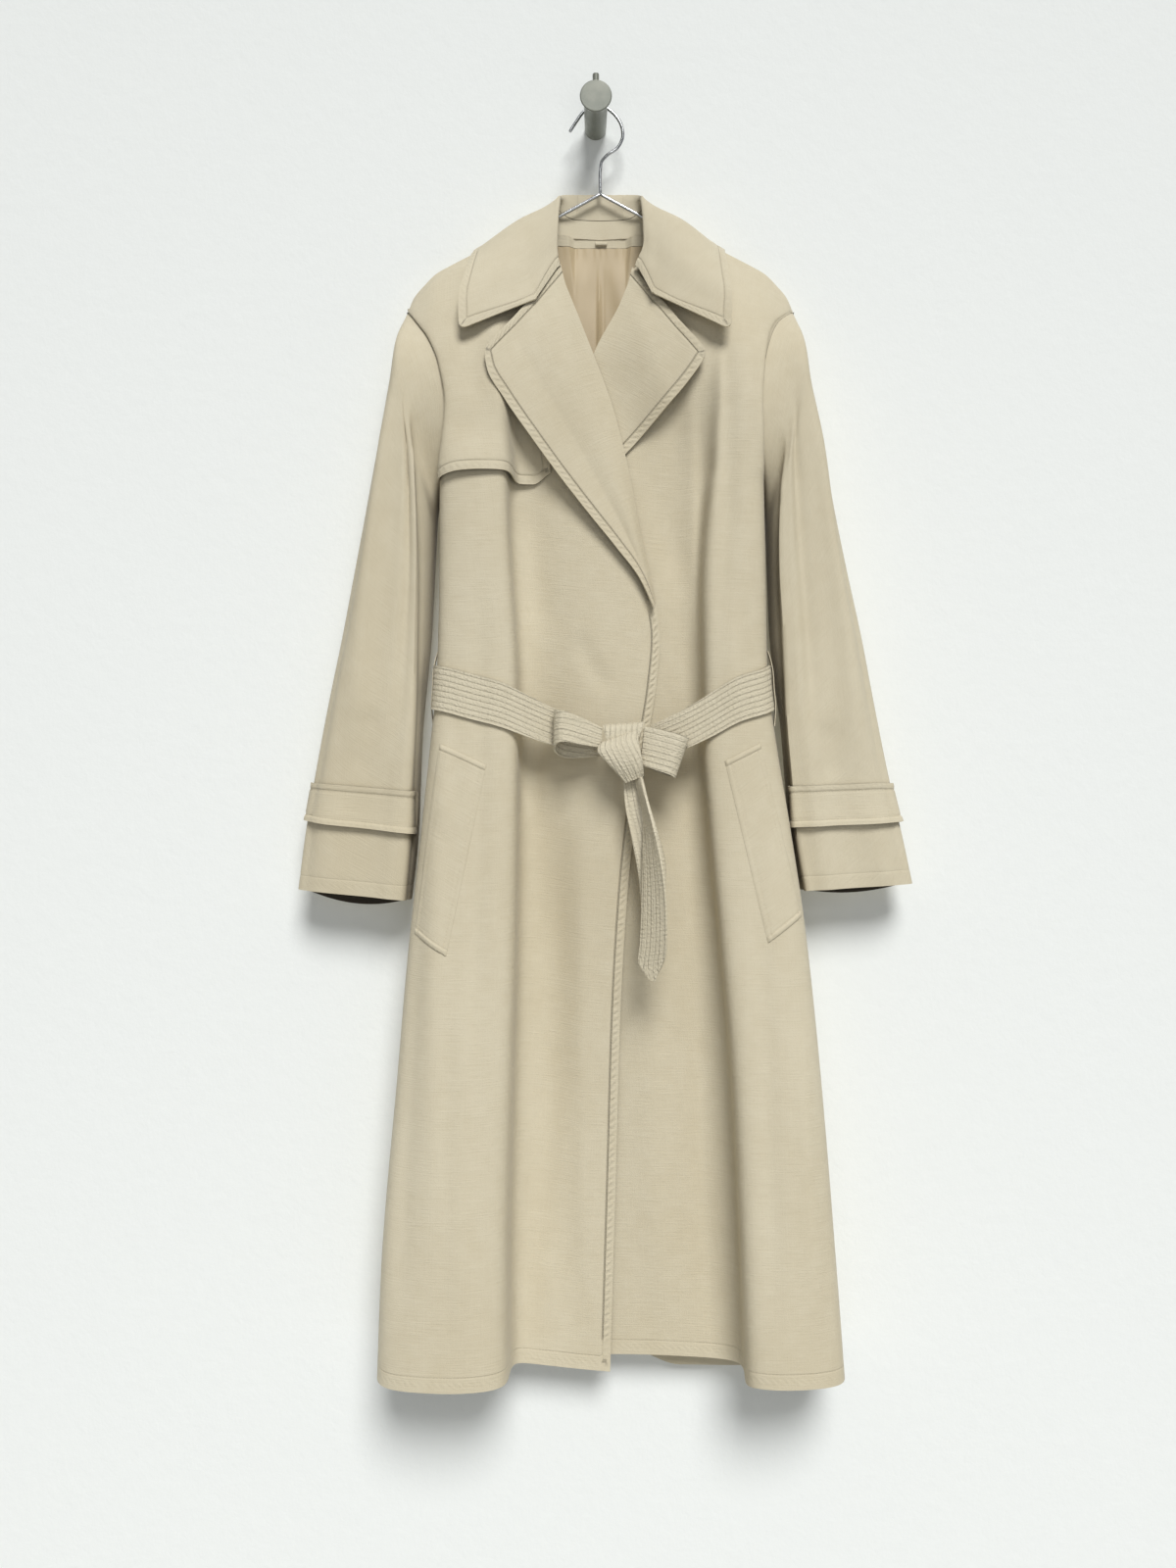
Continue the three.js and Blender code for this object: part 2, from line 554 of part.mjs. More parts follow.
const backTopZ = (x) => (Math.abs(x) < NECK_HALF ? read(NECKLINE, "x", Math.abs(x)).z : shoulderZ(x));

const SIDE_SEAM_GAP = 0.6; // between the front's and the back's edges at the side seam

function backSeam(z, sign) {
  if (z > PIT_Z) return read(BACK_SEAM, "z", z);
  const { seam, seamY } = read(sign < 0 ? RIGHT_FRONT : LEFT_FRONT, "z", z);
  return { x: seam, y: seamY + SIDE_SEAM_GAP };
}

// Heights over which the back's folds grow: below the shoulders to a share of their depth, then to all of it.
const BACK_GROWS = { from: -180, to: -480, share: 0.55, again: -640, whole: -1240 };

// Soft folds of the back's middle at a place across it.
function backFolds(x, z) {
  const { from, to, share, again, whole } = BACK_GROWS;
  const grown = smooth((from - z) / (from - to)) * mix(share, 1, smooth((again - z) / (again - whole)));
  const bell = ({ x: middle, wide }) => Math.exp(-(((x - middle) / wide) ** 2));
  return BACK_FOLDS.reduce((sum, fold) => sum - grown * fold.deep * bell(fold), 0);
}

function backControls(z) {
  const ends = [-1, 1].map((sign) => {
    const { x, y } = backSeam(z, sign);
    return [
      [sign * x, y],
      [sign * (x - 1), mix(y, BACK_Y, 0.55)],
      [sign * (x - 9), mix(y, BACK_Y, 0.95)],
      [sign * (x - 28), BACK_Y],
    ];
  });
  const from = ends[0].at(-1)[0];
  const to = ends[1].at(-1)[0];
  const middle = range(11).map((i) => {
    const x = mix(from, to, (i + 1) / 12);
    return [x, BACK_Y + backFolds(x, z)];
  });
  return [...ends[0], ...middle, ...ends[1].reverse()];
}
const BACK_END = 18;
const NECK_EASE = 16; // how far in from the neck's side the back reaches its full depth
const behindNeck = (x) => smooth((NECK_HALF - Math.abs(x)) / NECK_EASE);

function backPoint(t, z) {
  const [x, y] = spline(backControls(z), t);
  const full = Math.max(fullness(x, z, BACK_DROP), behindNeck(x));
  return point(x + COAT_X, mix(SEAM_Y + SEAM_GAP / 2, y, full), z);
}

// The back's top edge at a section place.
function backTop(t) {
  let z = TOP_GUESS;
  for (let i = 0; i < TOP_STEPS; i++) z = backTopZ(backPoint(t, z).x - COAT_X);
  return z;
}

// The back's hem hangs lower on the wearer's left.
const BACK_HEM = { above: 2, drop: 19, from: 30, to: 170, ease: 60 };
function backHemZ(x) {
  const { above, drop, from, to, ease } = BACK_HEM;
  return HEM_Z + above - drop * smooth((x - from) / ease) * (1 - smooth((x - to) / ease));
}

function backGrid() {
  const places = range(25).map((j) => (j / 24) * BACK_END);
  const row = (zAt) => places.map((t) => backPoint(t, zAt(t)));
  return [
    row((t) => backHemZ(backPoint(t, HEM_Z).x)),
    ...LEVELS.map((z) => row(() => z)),
    ...UPPER.map((share) => row((t) => mix(PIT_Z, backTop(t), share))),
  ].map((line) => line.reverse());
}

// ---------------------------------------------------------------- sleeves

// Controls of a sleeve's section, as [share of the way from the outer to the inner line, depth].
function sleeveControls({ front, back, crease, fold }) {
  const depth = (share) => mix(front, back, share);
  const lobe = mix(crease, 1, 0.6);
  return [
    [0, depth(0.55)],
    [0, depth(0.2)],
    [0.16, depth(0.02)],
    [0.42 * crease + 0.08, depth(0.07 * fold)],
    [0.74 * crease, depth(0)],
    [crease, depth(0.03)],
    [Math.min(crease + mix(0.12, 0.01, fold), 1), depth(mix(0.1, 0.3, fold))],
    [lobe, depth(mix(0.25, 0.42, fold))],
    [1.02, depth(mix(0.45, 0.58, fold))],
    [0.99, depth(0.88)],
    [0.6, depth(1)],
    [0.22, depth(1)],
    [0.02, depth(0.86)],
  ];
}
const SLEEVE_CONTROLS = 13;
const SLEEVE_PIT = 8; // the control at the bottom of the armhole
const ARMHOLE_GAP = 1.5; // from the panels' edges, which run straight between their rows

// A point of the armhole itself, which the sleeve is sewn to.
function armholePoint(side, c, share) {
  const z = mix(side.table[0].outZ, side.table[0].inZ, clamp(share, 0, 1));
  const seam = c < SLEEVE_PIT ? read(side.front, "z", z) : read(BACK_SEAM, "z", z);
  const [x, y] = c < SLEEVE_PIT ? [seam.seam, seam.seamY] : [seam.x, seam.y];
  const drop = c < SLEEVE_PIT ? CHEST_DROP : BACK_DROP;
  const seamY = mix(SEAM_Y, y, fullness(x, z, drop));
  return point(side.sign * (x + ARMHOLE_GAP) + COAT_X, seamY, z);
}

// A point of the sleeve's ring k.
function ringPoint(side, c, k) {
  const rung = read(side.table, "k", k);
  const [share, y] = spline(sleeveControls(rung), c, true);
  if (k === 0) return armholePoint(side, c, share);
  const x = mix(rung.outX, rung.inX, share);
  const dip = rung.dip * smooth((y - rung.front) / (rung.back - rung.front)) * 4 * share * (1 - share);
  return point(side.sign * x + COAT_X, y, mix(rung.outZ, rung.inZ, share) - dip);
}

const sleeveSides = {
  right: { sign: -1, table: RIGHT_SLEEVE, front: RIGHT_FRONT },
  left: { sign: 1, table: LEFT_SLEEVE, front: LEFT_FRONT },
};

// A point of the sleeve's outer face between its rings.
function sleevePoint(side, c, k) {
  const i = clamp(Math.floor(k), 0, SLEEVE_RINGS - 1);
  const t = k - i;
  const ring = (j) => ringPoint(side, c, clamp(j, 0, SLEEVE_RINGS));
  const [a, b, d, e] = [ring(i - 1), ring(i), ring(i + 1), ring(i + 2)];
  const enter = i === 0 ? d.clone().sub(b) : d.clone().sub(a).multiplyScalar(0.5);
  const leave = i === SLEEVE_RINGS - 1 ? d.clone().sub(b) : e.clone().sub(b).multiplyScalar(0.5);
  return b
    .clone()
    .multiplyScalar((1 + 2 * t) * (1 - t) ** 2)
    .addScaledVector(enter, t * (1 - t) ** 2)
    .addScaledVector(d, t * t * (3 - 2 * t))
    .addScaledVector(leave, t * t * (t - 1));
}

function sleeveNormal(side, c, k) {
  const round = sleevePoint(side, c + 0.1, k).sub(sleevePoint(side, c - 0.1, k));
  const down = sleevePoint(side, c, k + 0.1).sub(sleevePoint(side, c, k - 0.1));
  return round.cross(down).normalize().multiplyScalar(side.sign);
}

function sleeve(side) {
  const around = 24;
  const rows = range(SLEEVE_RINGS + 1).map((k) =>
    range(around).map((j) => ringPoint(side, (j / around) * SLEEVE_CONTROLS, k)),
  );
  return wall(rows, CLOTH, { closed: true, facing: -side.sign });
}

// Strap sewn across the front of a cuff: it stands off the sleeve along its lower edge. Its edges are given as
// places along the sleeve, at its outer and its inner end.
const RIGHT_STRAP = { topOut: 8.23, topIn: 8.21, bottomOut: 8.83, bottomIn: 8.92 };
const LEFT_STRAP = { topOut: 8.25, topIn: 8.11, bottomOut: 8.86, bottomIn: 8.84 };
const STRAP = { from: 0.15, to: 6.1, columns: 12, stand: 3.5 }; // its ends as places round the sleeve
function cuffStrap(side, { topOut, topIn, bottomOut, bottomIn }) {
  const grid = [0, 0.5, 1].map((down) =>
    range(STRAP.columns + 1).map((j) => {
      const across = j / STRAP.columns;
      const c = mix(STRAP.from, STRAP.to, across);
      const k = mix(mix(topOut, topIn, across), mix(bottomOut, bottomIn, across), down);
      const out = LAY_GAP + CLOTH + STRAP.stand * down * down * Math.sin(Math.PI * across);
      return sleevePoint(side, c, k).addScaledVector(sleeveNormal(side, c, k), out);
    }),
  );
  return wall(grid, CLOTH, { facing: -side.sign });
}

// ---------------------------------------------------------------- lapels

const LAPEL_OUT = 0.6 + LAPEL_CLOTH; // its outer face over the front
const LAPEL_PUFF = { out: 5, widest: 1.6, fade: 4 }; // how it stands out between roll and edge
const LAPEL_STEPS = { along: 12, across: 7 };

// Lapel turned out along the roll: u runs down it, w from the roll to the outer edge.
function lapelPoint(table, edgeX, surfaceY, u, w, cover) {
  const row = read(table.map((line, i) => ({ ...line, i })), "i", u * (table.length - 1));
  const rollX = edgeX(row.roll);
  const x = mix(rollX, row.x, w);
  const z = mix(row.roll, row.z, w) - row.sag * 4 * w * (1 - w);
  const rollY = surfaceY(rollX, row.roll) - LAPEL_OUT;
  const arch = Math.sin(Math.PI * Math.min(1, w * LAPEL_PUFF.widest));
  const puff = LAPEL_PUFF.out * arch * smooth((1 - u) * LAPEL_PUFF.fade);
  const y = mix(rollY, row.y, (smooth(w) + w) / 2) - puff;
  return point(x + COAT_X, cover(x, z, y), z);
}

function lapel(table, edgeX, surfaceY, cover, mirrored) {
  const { along, across } = LAPEL_STEPS;
  const places = range(across + 1).map((j) => (mirrored ? 1 - j / across : j / across));
  const grid = range(along + 1)
    .map((i) => places.map((w) => lapelPoint(table, edgeX, surfaceY, i / along, w, cover)))
    .reverse();
  return wall(grid, LAPEL_CLOTH);
}

// The lapels lie over their fronts. Where the over front lies on the under lapel, it keeps it back.
const overCover = (x, z, y) => Math.min(y, overY(x, z) - LAPEL_OUT);
const KEPT = { behind: 2.4, from: 8, over: 24 }; // gap behind the over front, and where it lets go
function underCover(x, z, y) {
  const free = Math.min(y, underY(x, z) - LAPEL_OUT);
  const kept = overY(x, z) + CLOTH + KEPT.behind;
  return mix(kept, free, smooth((x - overEdgeX(z) - KEPT.from) / KEPT.over));
}

// ---------------------------------------------------------------- collar

// The collar's section at a place from -7, the right gorge, through 0, the centre back, to 7.
const COLLAR_TRIM = { shorter: 12, from: 2.5, over: 4 }; // the wearer's left end is narrower
const ROLL = { out: 4, in: 1.5, outDown: 3.5, inDown: 4, fullHigh: 20 }; // the cloth round the roll line
const CLOSE = { reach: 12, share: 0.3 }; // where fall and roll are this close, the fall starts straight back
function collarSection(place) {
  const sign = Math.sign(place) || 1;
  const c = { ...read(COLLAR_STAND, "a", Math.abs(place)), ...read(COLLAR_FALL, "a", Math.abs(place)) };
  if (sign > 0) c.ex -= COLLAR_TRIM.shorter * smooth((place - COLLAR_TRIM.from) / COLLAR_TRIM.over);
  const at = (x, y, z) => point(sign * x + COAT_X, y, z);
  const [neck, roll] = [at(c.nx, c.ny, c.nz), at(c.rx, c.ry, c.rz)];
  const [middle, edge] = [at(c.mx, c.my, c.mz), at(c.ex, c.ey, c.ez)];
  const seam = neck.clone().lerp(roll, STAND_SHARE);
  const away = middle.clone().sub(roll).setZ(0);
  const close = away.length() <= CLOSE.reach;
  away.normalize();
  const out = close ? point(0, 1, 0).lerp(away, CLOSE.share).normalize() : away;
  const rise = Math.min(1, neck.distanceTo(roll) / ROLL.fullHigh);
  const inner = roll.clone().addScaledVector(out, -ROLL.in * rise).add(point(0, 0, -ROLL.inDown * rise));
  const outer = roll.clone().addScaledVector(out, ROLL.out).add(point(0, 0, -ROLL.outDown));
  return { neck, seam, inner, roll, outer, middle, edge };
}

function collarFall() {
  const shares = [0, 0.12, 0.2, 0.27, 0.36, 0.52, 0.68, 0.84, 1];
  const grid = range(31).map((j) => {
    const { seam, inner, roll, outer, middle, edge } = collarSection(mix(-7, 7, j / 30));
    const section = through([seam.lerp(roll, 0.14), inner, roll, outer, middle, edge]);
    return shares.map((share) => section(share));
  });
  return wall(grid, COLLAR_CLOTH, { facing: 1 });
}

function collarStand() {
  const grid = range(23).map((j) => {
    const { neck, seam } = collarSection(mix(-5.2, 5.2, j / 22));
    return [neck, neck.clone().lerp(seam, 0.5), seam.clone().lerp(neck, 0.2)];
  });
  return wall(grid, COLLAR_CLOTH, { facing: 1 });
}

// ---------------------------------------------------------------- what shows inside the neck

const backY = (x, z) => {
  const t = solve((place) => spline(backControls(z), place)[0], x, 0, BACK_END);
  return backPoint(t, z).y;
};

// What lies inside the back clears the back's cloth this far to either side.
const CLEARED = [-12, -6, 0, 6, 12];

// Cloth on the inside of the back, as wide as this to either side.
function inside(width, top, bottom, rows, thickness) {
  const columns = 12;
  const grid = range(rows + 1).map((i) =>
    range(columns + 1).map((j) => {
      const x = mix(-width, width, j / columns);
      const z = mix(bottom(x), top(x), i / rows);
      const behind = Math.min(...CLEARED.map((aside) => backY(x + aside, z)));
      return point(x + COAT_X, Math.min(behind - CLOTH - INSIDE_GAP - thickness, INSIDE_Y), z);
    }),
  );
  return wall(grid, thickness);
}
const neckCurve = (x) => read(NECKLINE, "x", Math.abs(x)).z;
const FACING_DEEP = 8;
const FACING_HALF = 40;
const LINING_HALF = 44;
const LINING_ROWS = 10;
const NECK_SEAM = 0.6; // between the neck edge and the facing
const LINING_SEAM = 1;
const LINING_END = -420;
const INSIDE_Y = -15;
const INSIDE_GAP = 1.1;

const facingEnd = (x) => neckCurve(x) - FACING_DEEP;
const neckFacing = () => inside(FACING_HALF, (x) => neckCurve(x) - NECK_SEAM, facingEnd, 1, CLOTH);
const liningTop = (x) => facingEnd(x) - LINING_SEAM;
const backLining = () => inside(LINING_HALF, liningTop, () => LINING_END, LINING_ROWS, LINING_CLOTH);

// Hanging loop at the centre back, sewn on at both ends.
const HANGING_LOOP = { x: COAT_X + 1, half: 6, cloth: 0.9 };
const LOOP_PATH = [
  { z: -131.2, y: -16.4 },
  { z: -130, y: -18.6 },
  { z: -127, y: -18.2 },
  { z: -126, y: -16.4 },
];
function hangingLoop() {
  const { x, half, cloth } = HANGING_LOOP;
  return wall(LOOP_PATH.map(({ z, y }) => [point(x - half, y, z), point(x + half, y, z)]), cloth);
}

// ---------------------------------------------------------------- what lies on the fronts

// Storm flap over the wearer's right chest, from the shoulder down to a free hem with a round front corner.
const FLAP_HEM = [
  { u: 0, z: -394 },
  { u: 0.25, z: -386 },
  { u: 0.5, z: -385 },
  { u: 0.8, z: -392 },
  { u: 0.93, z: -392 },
  { u: 1, z: -381 },
];
// Where the flap's outer edge lies on the front's section, along the armhole.
const FLAP_SEAM = [
  { z: -140, t: 0.2 },
  { z: -240, t: 0.6 },
  { z: -330, t: 1.2 },
  { z: -394, t: 1.8 },
];
const FLAP_ROWS = [0, 0.09, 0.2, 0.32, 0.44, 0.56, 0.68, 0.79, 0.88, 0.95, 1]; // shares from hem to top
const FLAP_COLUMNS = 16;
const FLAP_CLOTH = CLOTH - 0.1;
const FLAP_FREE = { out: 2.5, share: 0.3 }; // its hem stands off the front
const FLAP_PASSES = 14; // of the search for a point's height, which its place across depends on
// Its front edge runs between these, and its top edge ends below the shoulder and drops beside the sleeve.
const flapInnerX = (z) => mix(-51, -88, smooth((z + 380) / 170));
const flapTopZ = (x) => shoulderZ(x) - 4 - 26 * smooth((142 - Math.abs(x)) / 16);

function flapPoint(u, share) {
  const hem = read(FLAP_HEM, "u", u).z;
  let z = -200;
  let t = 0;
  for (let i = 0; i < FLAP_PASSES; i++) {
    t = mix(read(FLAP_SEAM, "z", z).t, middleT(flapInnerX(z), z), u);
    z = mix(hem, flapTopZ(frontPoint(t, z).x - COAT_X), share);
  }
  const bow = Math.sin(Math.PI * clamp(u, 0.05, 0.95));
  const free = FLAP_FREE.out * (1 - smooth(share / FLAP_FREE.share)) * bow;
  return frontOut(t, z, LAY_GAP + CLOTH + free);
}

function stormFlap() {
  const grid = FLAP_ROWS.map((share) => range(FLAP_COLUMNS + 1).map((j) => flapPoint(j / FLAP_COLUMNS, share)));
  return wall(grid, FLAP_CLOTH);
}

// Pocket welts: four corners on a big fold, the upper two first. x counts across the coat.
const RIGHT_WELT = { top: [-160, -660, -115, -681], bottom: [-190, -850, -154, -872] };
const LEFT_WELT = { top: [124, -677, 160, -659], bottom: [167, -859, 202, -833] };
const WELT_STEPS = { along: 6, across: 4 };
function welt({ top, bottom }, foldT, under) {
  const grid = range(WELT_STEPS.along + 1).map((i) =>
    range(WELT_STEPS.across + 1).map((j) => {
      const down = 1 - i / WELT_STEPS.along;
      const across = j / WELT_STEPS.across;
      const x = mix(mix(top[0], top[2], across), mix(bottom[0], bottom[2], across), down);
      const z = mix(mix(top[1], top[3], across), mix(bottom[1], bottom[3], across), down);
      return frontOut(foldT(x, z), z, LAY_GAP + CLOTH, under);
    }),
  );
  return wall(grid, CLOTH);
}

// ---------------------------------------------------------------- belt

const BELT_OUT = BELT_LAY + BELT_CLOTH;
const BELT_WIDE = 45;
const BELT_TOP = -578; // at the side seams and round the back
const BELT_HANG = { shares: [0.3, 0.62, 1], sag: 2.5, bow: 1.2 }; // its free stretch towards the knot
const BELT_BEND = { from: 0.6, to: 2.6 }; // section places over which it bends round the back's edge
// Top of the belt, by the section place it has on each big fold.
const RIGHT_BELT = [
  { t: 0, z: BELT_TOP },
  { t: 2, z: -580 },
  { t: 3, z: -583 },
  { t: 4, z: -590 },
  { t: 5.4, z: -600 },
];
const LEFT_BELT = [
  { t: 0, z: BELT_TOP },
  { t: 2, z: -580 },
  { t: 3, z: -585 },
  { t: 4, z: -591 },
  { t: 5.2, z: -605 },
];
const RIGHT_KNOT = { x: -2, y: -87, top: -642, bottom: -673 };
const LEFT_KNOT = { x: 50, y: -87, top: -641, bottom: -676 };
const acrossBelt = [0, 1 / 3, 2 / 3, 1];

// A run of the belt from the side seam over the big fold, and on through the air to the knot.
function beltFront(table, placeOf, under, knot, mirrored) {
  const last = table.at(-1).t;
  const onCloth = [0.25, 0.65, 1.05, 1.4, 1.75, 2.1, 2.45, 2.8, 3.2, 3.6, 4, 4.5, 5, last];
  const lines = onCloth.map((t) =>
    acrossBelt.map((down) => frontOut(placeOf(t), read(table, "t", t).z - down * BELT_WIDE, BELT_OUT, under)),
  );
  const off = lines.at(-1);
  for (const share of BELT_HANG.shares)
    lines.push(
      off.map((p, j) => {
        const end = point(knot.x + COAT_X, knot.y, mix(knot.top, knot.bottom, acrossBelt[j]));
        const bulge = Math.sin(Math.PI * share);
        return p.clone().lerp(end, share).add(point(0, -BELT_HANG.bow * bulge, -BELT_HANG.sag * bulge));
      }),
    );
  return wall(lines, BELT_CLOTH, { facing: mirrored ? 1 : -1 });
}

// The belt's run round the back, between the coat and the wall.
function beltBack() {
  const half = [0.15, 0.45, 0.75, 1.05, 1.4, 1.8, 2.3, 3, 4, 5, 6, 7, 8];
  const lines = [...half, BACK_END / 2, ...half.map((t) => BACK_END - t).reverse()].map((t) => {
    return acrossBelt.map((down) => {
      const z = BELT_TOP - down * BELT_WIDE;
      const p = backPoint(t, z);
      const edge = smooth((BELT_BEND.to - Math.min(t, BACK_END - t)) / (BELT_BEND.to - BELT_BEND.from));
      const along = backPoint(t + 0.05, z).sub(backPoint(t - 0.05, z));
      const normal = point(-along.y, along.x, 0).normalize();
      const onCloth = p.clone().addScaledVector(normal, BELT_OUT);
      return point(onCloth.x, mix(BACK_Y + BELT_OUT, onCloth.y, edge), z);
    });
  });
  return wall(lines, BELT_CLOTH, { facing: 1 });
}

// Ribbon between two edges, given row by row along it.
function ribbon(rows, steps, across, thickness) {
  const first = through(rows.map((r) => point(r.ax, r.ay, r.az)));
  const second = through(rows.map((r) => point(r.bx, r.by, r.bz)));
  const grid = range(steps + 1).map((i) =>
    range(across + 1).map((j) => first(i / steps).lerp(second(i / steps), j / across)),
  );
  return wall(grid, thickness);
}

// Ear of the bow: the belt goes out from the knot, turns over and comes back behind itself.
const RIGHT_EAR = [
  { ax: 5.6, ay: -101, az: -642, bx: 4.4, by: -101, bz: -668 },
  { ax: -16, ay: -106, az: -635, bx: -16, by: -107, bz: -668 },
  { ax: -35, ay: -108, az: -628, bx: -36, by: -111, bz: -665 },
  { ax: -39.5, ay: -102.5, az: -627, bx: -40, by: -103.5, bz: -667 },
  { ax: -35, ay: -96, az: -627.5, bx: -35, by: -96, bz: -672 },
  { ax: -14, ay: -94.5, az: -635, bx: -14, by: -94.5, bz: -673 },
  { ax: 6, ay: -93.5, az: -643, bx: 4, by: -93.5, bz: -672 },
];
const LEFT_EAR = [
  { ax: 48, ay: -93.5, az: -644, bx: 44, by: -93.5, bz: -680 },
  { ax: 68, ay: -94.5, az: -649, bx: 58, by: -94.5, bz: -687 },
  { ax: 86, ay: -96, az: -653, bx: 73, by: -96, bz: -692 },
  { ax: 90.5, ay: -102, az: -654, bx: 77, by: -103, bz: -693.5 },
  { ax: 86, ay: -108, az: -652, bx: 73, by: -108, bz: -691 },
  { ax: 68, ay: -106, az: -647, bx: 59, by: -106, bz: -686 },
  { ax: 49, ay: -101.5, az: -643, bx: 45, by: -101.5, bz: -681 },
];
const REAR_TAIL = [
  { ax: 27, ay: -97.8, az: -692, bx: 46, by: -97.8, bz: -690 },
  { ax: 29, ay: -97, az: -722, bx: 53, by: -92, bz: -720 },
  { ax: 35, ay: -96, az: -753, bx: 62, by: -90, bz: -750 },
  { ax: 42, ay: -93, az: -790, bx: 70, by: -88, bz: -784 },
  { ax: 45, ay: -90, az: -820, bx: 68, by: -86, bz: -815 },
  { ax: 48, ay: -88, az: -850, bx: 66, by: -85, bz: -846 },
];
const FRONT_TAIL = [
  { ax: 40.5, ay: -103, az: -694.4, bx: 45.5, by: -110, bz: -693.2 },
  { ax: 44.5, ay: -102, az: -712, bx: 50, by: -118, bz: -712 },
  { ax: 48, ay: -102, az: -730, bx: 56, by: -124, bz: -735 },
  { ax: 48, ay: -102, az: -770, bx: 64, by: -127, bz: -772 },
  { ax: 47, ay: -103, az: -815, bx: 69, by: -125, bz: -815 },
  { ax: 45, ay: -104, az: -860, bx: 69.5, by: -123, bz: -856 },
  { ax: 43.5, ay: -104, az: -878, bx: 69, by: -122, bz: -868 },
  { ax: 55, ay: -113, az: -894, bx: 57.5, by: -114.5, bz: -895 },
];

// The knot: a band drawn down over the crossing, closed into a ring that holds ears and tails.
const KNOT_BAND = [
  { ax: 6, ay: -99, az: -641, bx: 48, by: -99, bz: -637 },
  { ax: 7, ay: -106, az: -645, bx: 49, by: -106, bz: -641 },
  { ax: 5, ay: -112, az: -656, bx: 46, by: -113, bz: -656 },
  { ax: 6, ay: -114, az: -671, bx: 45, by: -116, bz: -672 },
  { ax: 17, ay: -112, az: -686, bx: 47, by: -114, bz: -684 },
  { ax: 28, ay: -107, az: -697, bx: 47, by: -108, bz: -692 },
];
const KNOT = { x: 28, z: -666, back: -100.6, deep: 7, bulge: 3.2, along: 10, across: 8 };
function knot() {
  const first = through(KNOT_BAND.map((r) => point(r.ax, r.ay, r.az)));
  const second = through(KNOT_BAND.map((r) => point(r.bx, r.by, r.bz)));
  const outer = range(KNOT.along + 1).map((i) => {
    const share = i / KNOT.along;
    return range(KNOT.across + 1).map((j) => {
      const out = KNOT.bulge * Math.sin((Math.PI * j) / KNOT.across);
      return first(share).lerp(second(share), j / KNOT.across).add(point(0, -out, 0));
    });
  });
  // Its inner face is drawn in a little towards its middle.
  const inner = outer.map((row) =>
    row.map((p) => point(mix(p.x, KNOT.x, 0.12), Math.min(p.y + KNOT.deep, KNOT.back), mix(p.z, KNOT.z, 0.1))),
  );
  return bodyBetween(outer, inner);
}

// Loop at the side seam, through which the belt runs: its heights, and how far it stands out there.
const BELT_LOOP = { front: -66, back: -58, cloth: 0.8 };
const LOOP_ROWS = [
  { z: -564, out: 1.2 },
  { z: -571, out: 3.4 },
  { z: -582, out: 5.6 },
  { z: -602, out: 6.2 },
  { z: -622, out: 5.4 },
  { z: -633, out: 3.2 },
  { z: -641, out: 1.2 },
];
function beltLoop(sign, table) {
  const grid = LOOP_ROWS.map(({ z, out }) => {
    const x = sign * (read(table, "z", z).side + out) + COAT_X;
    return [point(x, BELT_LOOP.front, z), point(x, BELT_LOOP.back, z)];
  });
  return wall(grid, BELT_LOOP.cloth, { facing: sign });
}

// ---------------------------------------------------------------- hanger and peg

// Round wire along a curve.
function wire(points, steps) {
  const path = new THREE.CatmullRomCurve3(points.map(([x, z]) => point(x, HANGER_Y, z)), false, "centripetal");
  const section = new THREE.Shape();
  section.absarc(0, 0, WIRE_R, 0, 2 * Math.PI);
  return new THREE.ExtrudeGeometry(section, { steps, extrudePath: path, curveSegments: 5, bevelEnabled: false });
}

function solidOf(geometry) {
  const bare = geometry.clone();
  for (const name of ["normal", "uv"]) bare.deleteAttribute(name);
  const merged = mergeVertices(bare, 1e-3);
  const mesh = { numProp: 3, vertProperties: merged.attributes.position.array };
  return new wasm.Manifold(new wasm.Mesh({ ...mesh, triVerts: new Uint32Array(merged.index.array) }));
}

function geometryOf(solid) {
  const mesh = solid.getMesh();
  const geometry = new THREE.BufferGeometry();
  geometry.setAttribute("position", new THREE.BufferAttribute(mesh.vertProperties, 3));
  geometry.setIndex(new THREE.BufferAttribute(mesh.triVerts, 1));
  return geometry;
}

// The hook's bend, from its tip over the peg to the shank, as [x, z].
const HOOK = [
  [-27.5, -14],
  [-20.5, -3],
  [-12.5, 7.5],
  [-1, 14],
  [11, 11.5],
  [21, 3.5],
  [27.5, -8],
  [28.5, -19],
  [23, -30.5],
  [12, -38.5],
  [6.2, -45.5],
  [5, -54],
  [5, HANGER_TOP],
];
function hanger() {
  const arm = (sign) =>
    range(3).map((i) => {
      const x = ARM_REACH * (i / 2);
      return [sign * x + COAT_X, HANGER_TOP - ARM_SLOPE * x];
    });
  const parts = [wire(HOOK, 34), wire(arm(-1), 2), wire(arm(1), 2)];
  return geometryOf(parts.map(solidOf).reduce((sum, part) => sum.add(part)));
}

function wallPeg() {
  const { length, wallR, neckR, headR, flare } = PEG;
  const profile = [
    [0, 0],
    [wallR, 0],
    [mix(wallR, neckR, 0.9), length - 1.6 * flare],
    [neckR, length - flare],
    [mix(neckR, headR, 0.35), length - 0.6 * flare],
    [headR - 0.4, length - 0.2 * flare],
    [headR, length - 1],
    [headR - 0.8, length],
    [0, length],
  ];
  const shaft = new THREE.LatheGeometry(profile.map(([r, y]) => new THREE.Vector2(r, y)), 32);
  shaft.rotateX(Math.PI);
  const pin = new THREE.CylinderGeometry(PIN.r, PIN.r, PIN.top, 16);
  pin.rotateX(Math.PI / 2).translate(0, PIN.y, PIN.top / 2);
  return geometryOf(solidOf(shaft).add(solidOf(pin)));
}

// ---------------------------------------------------------------- assembly

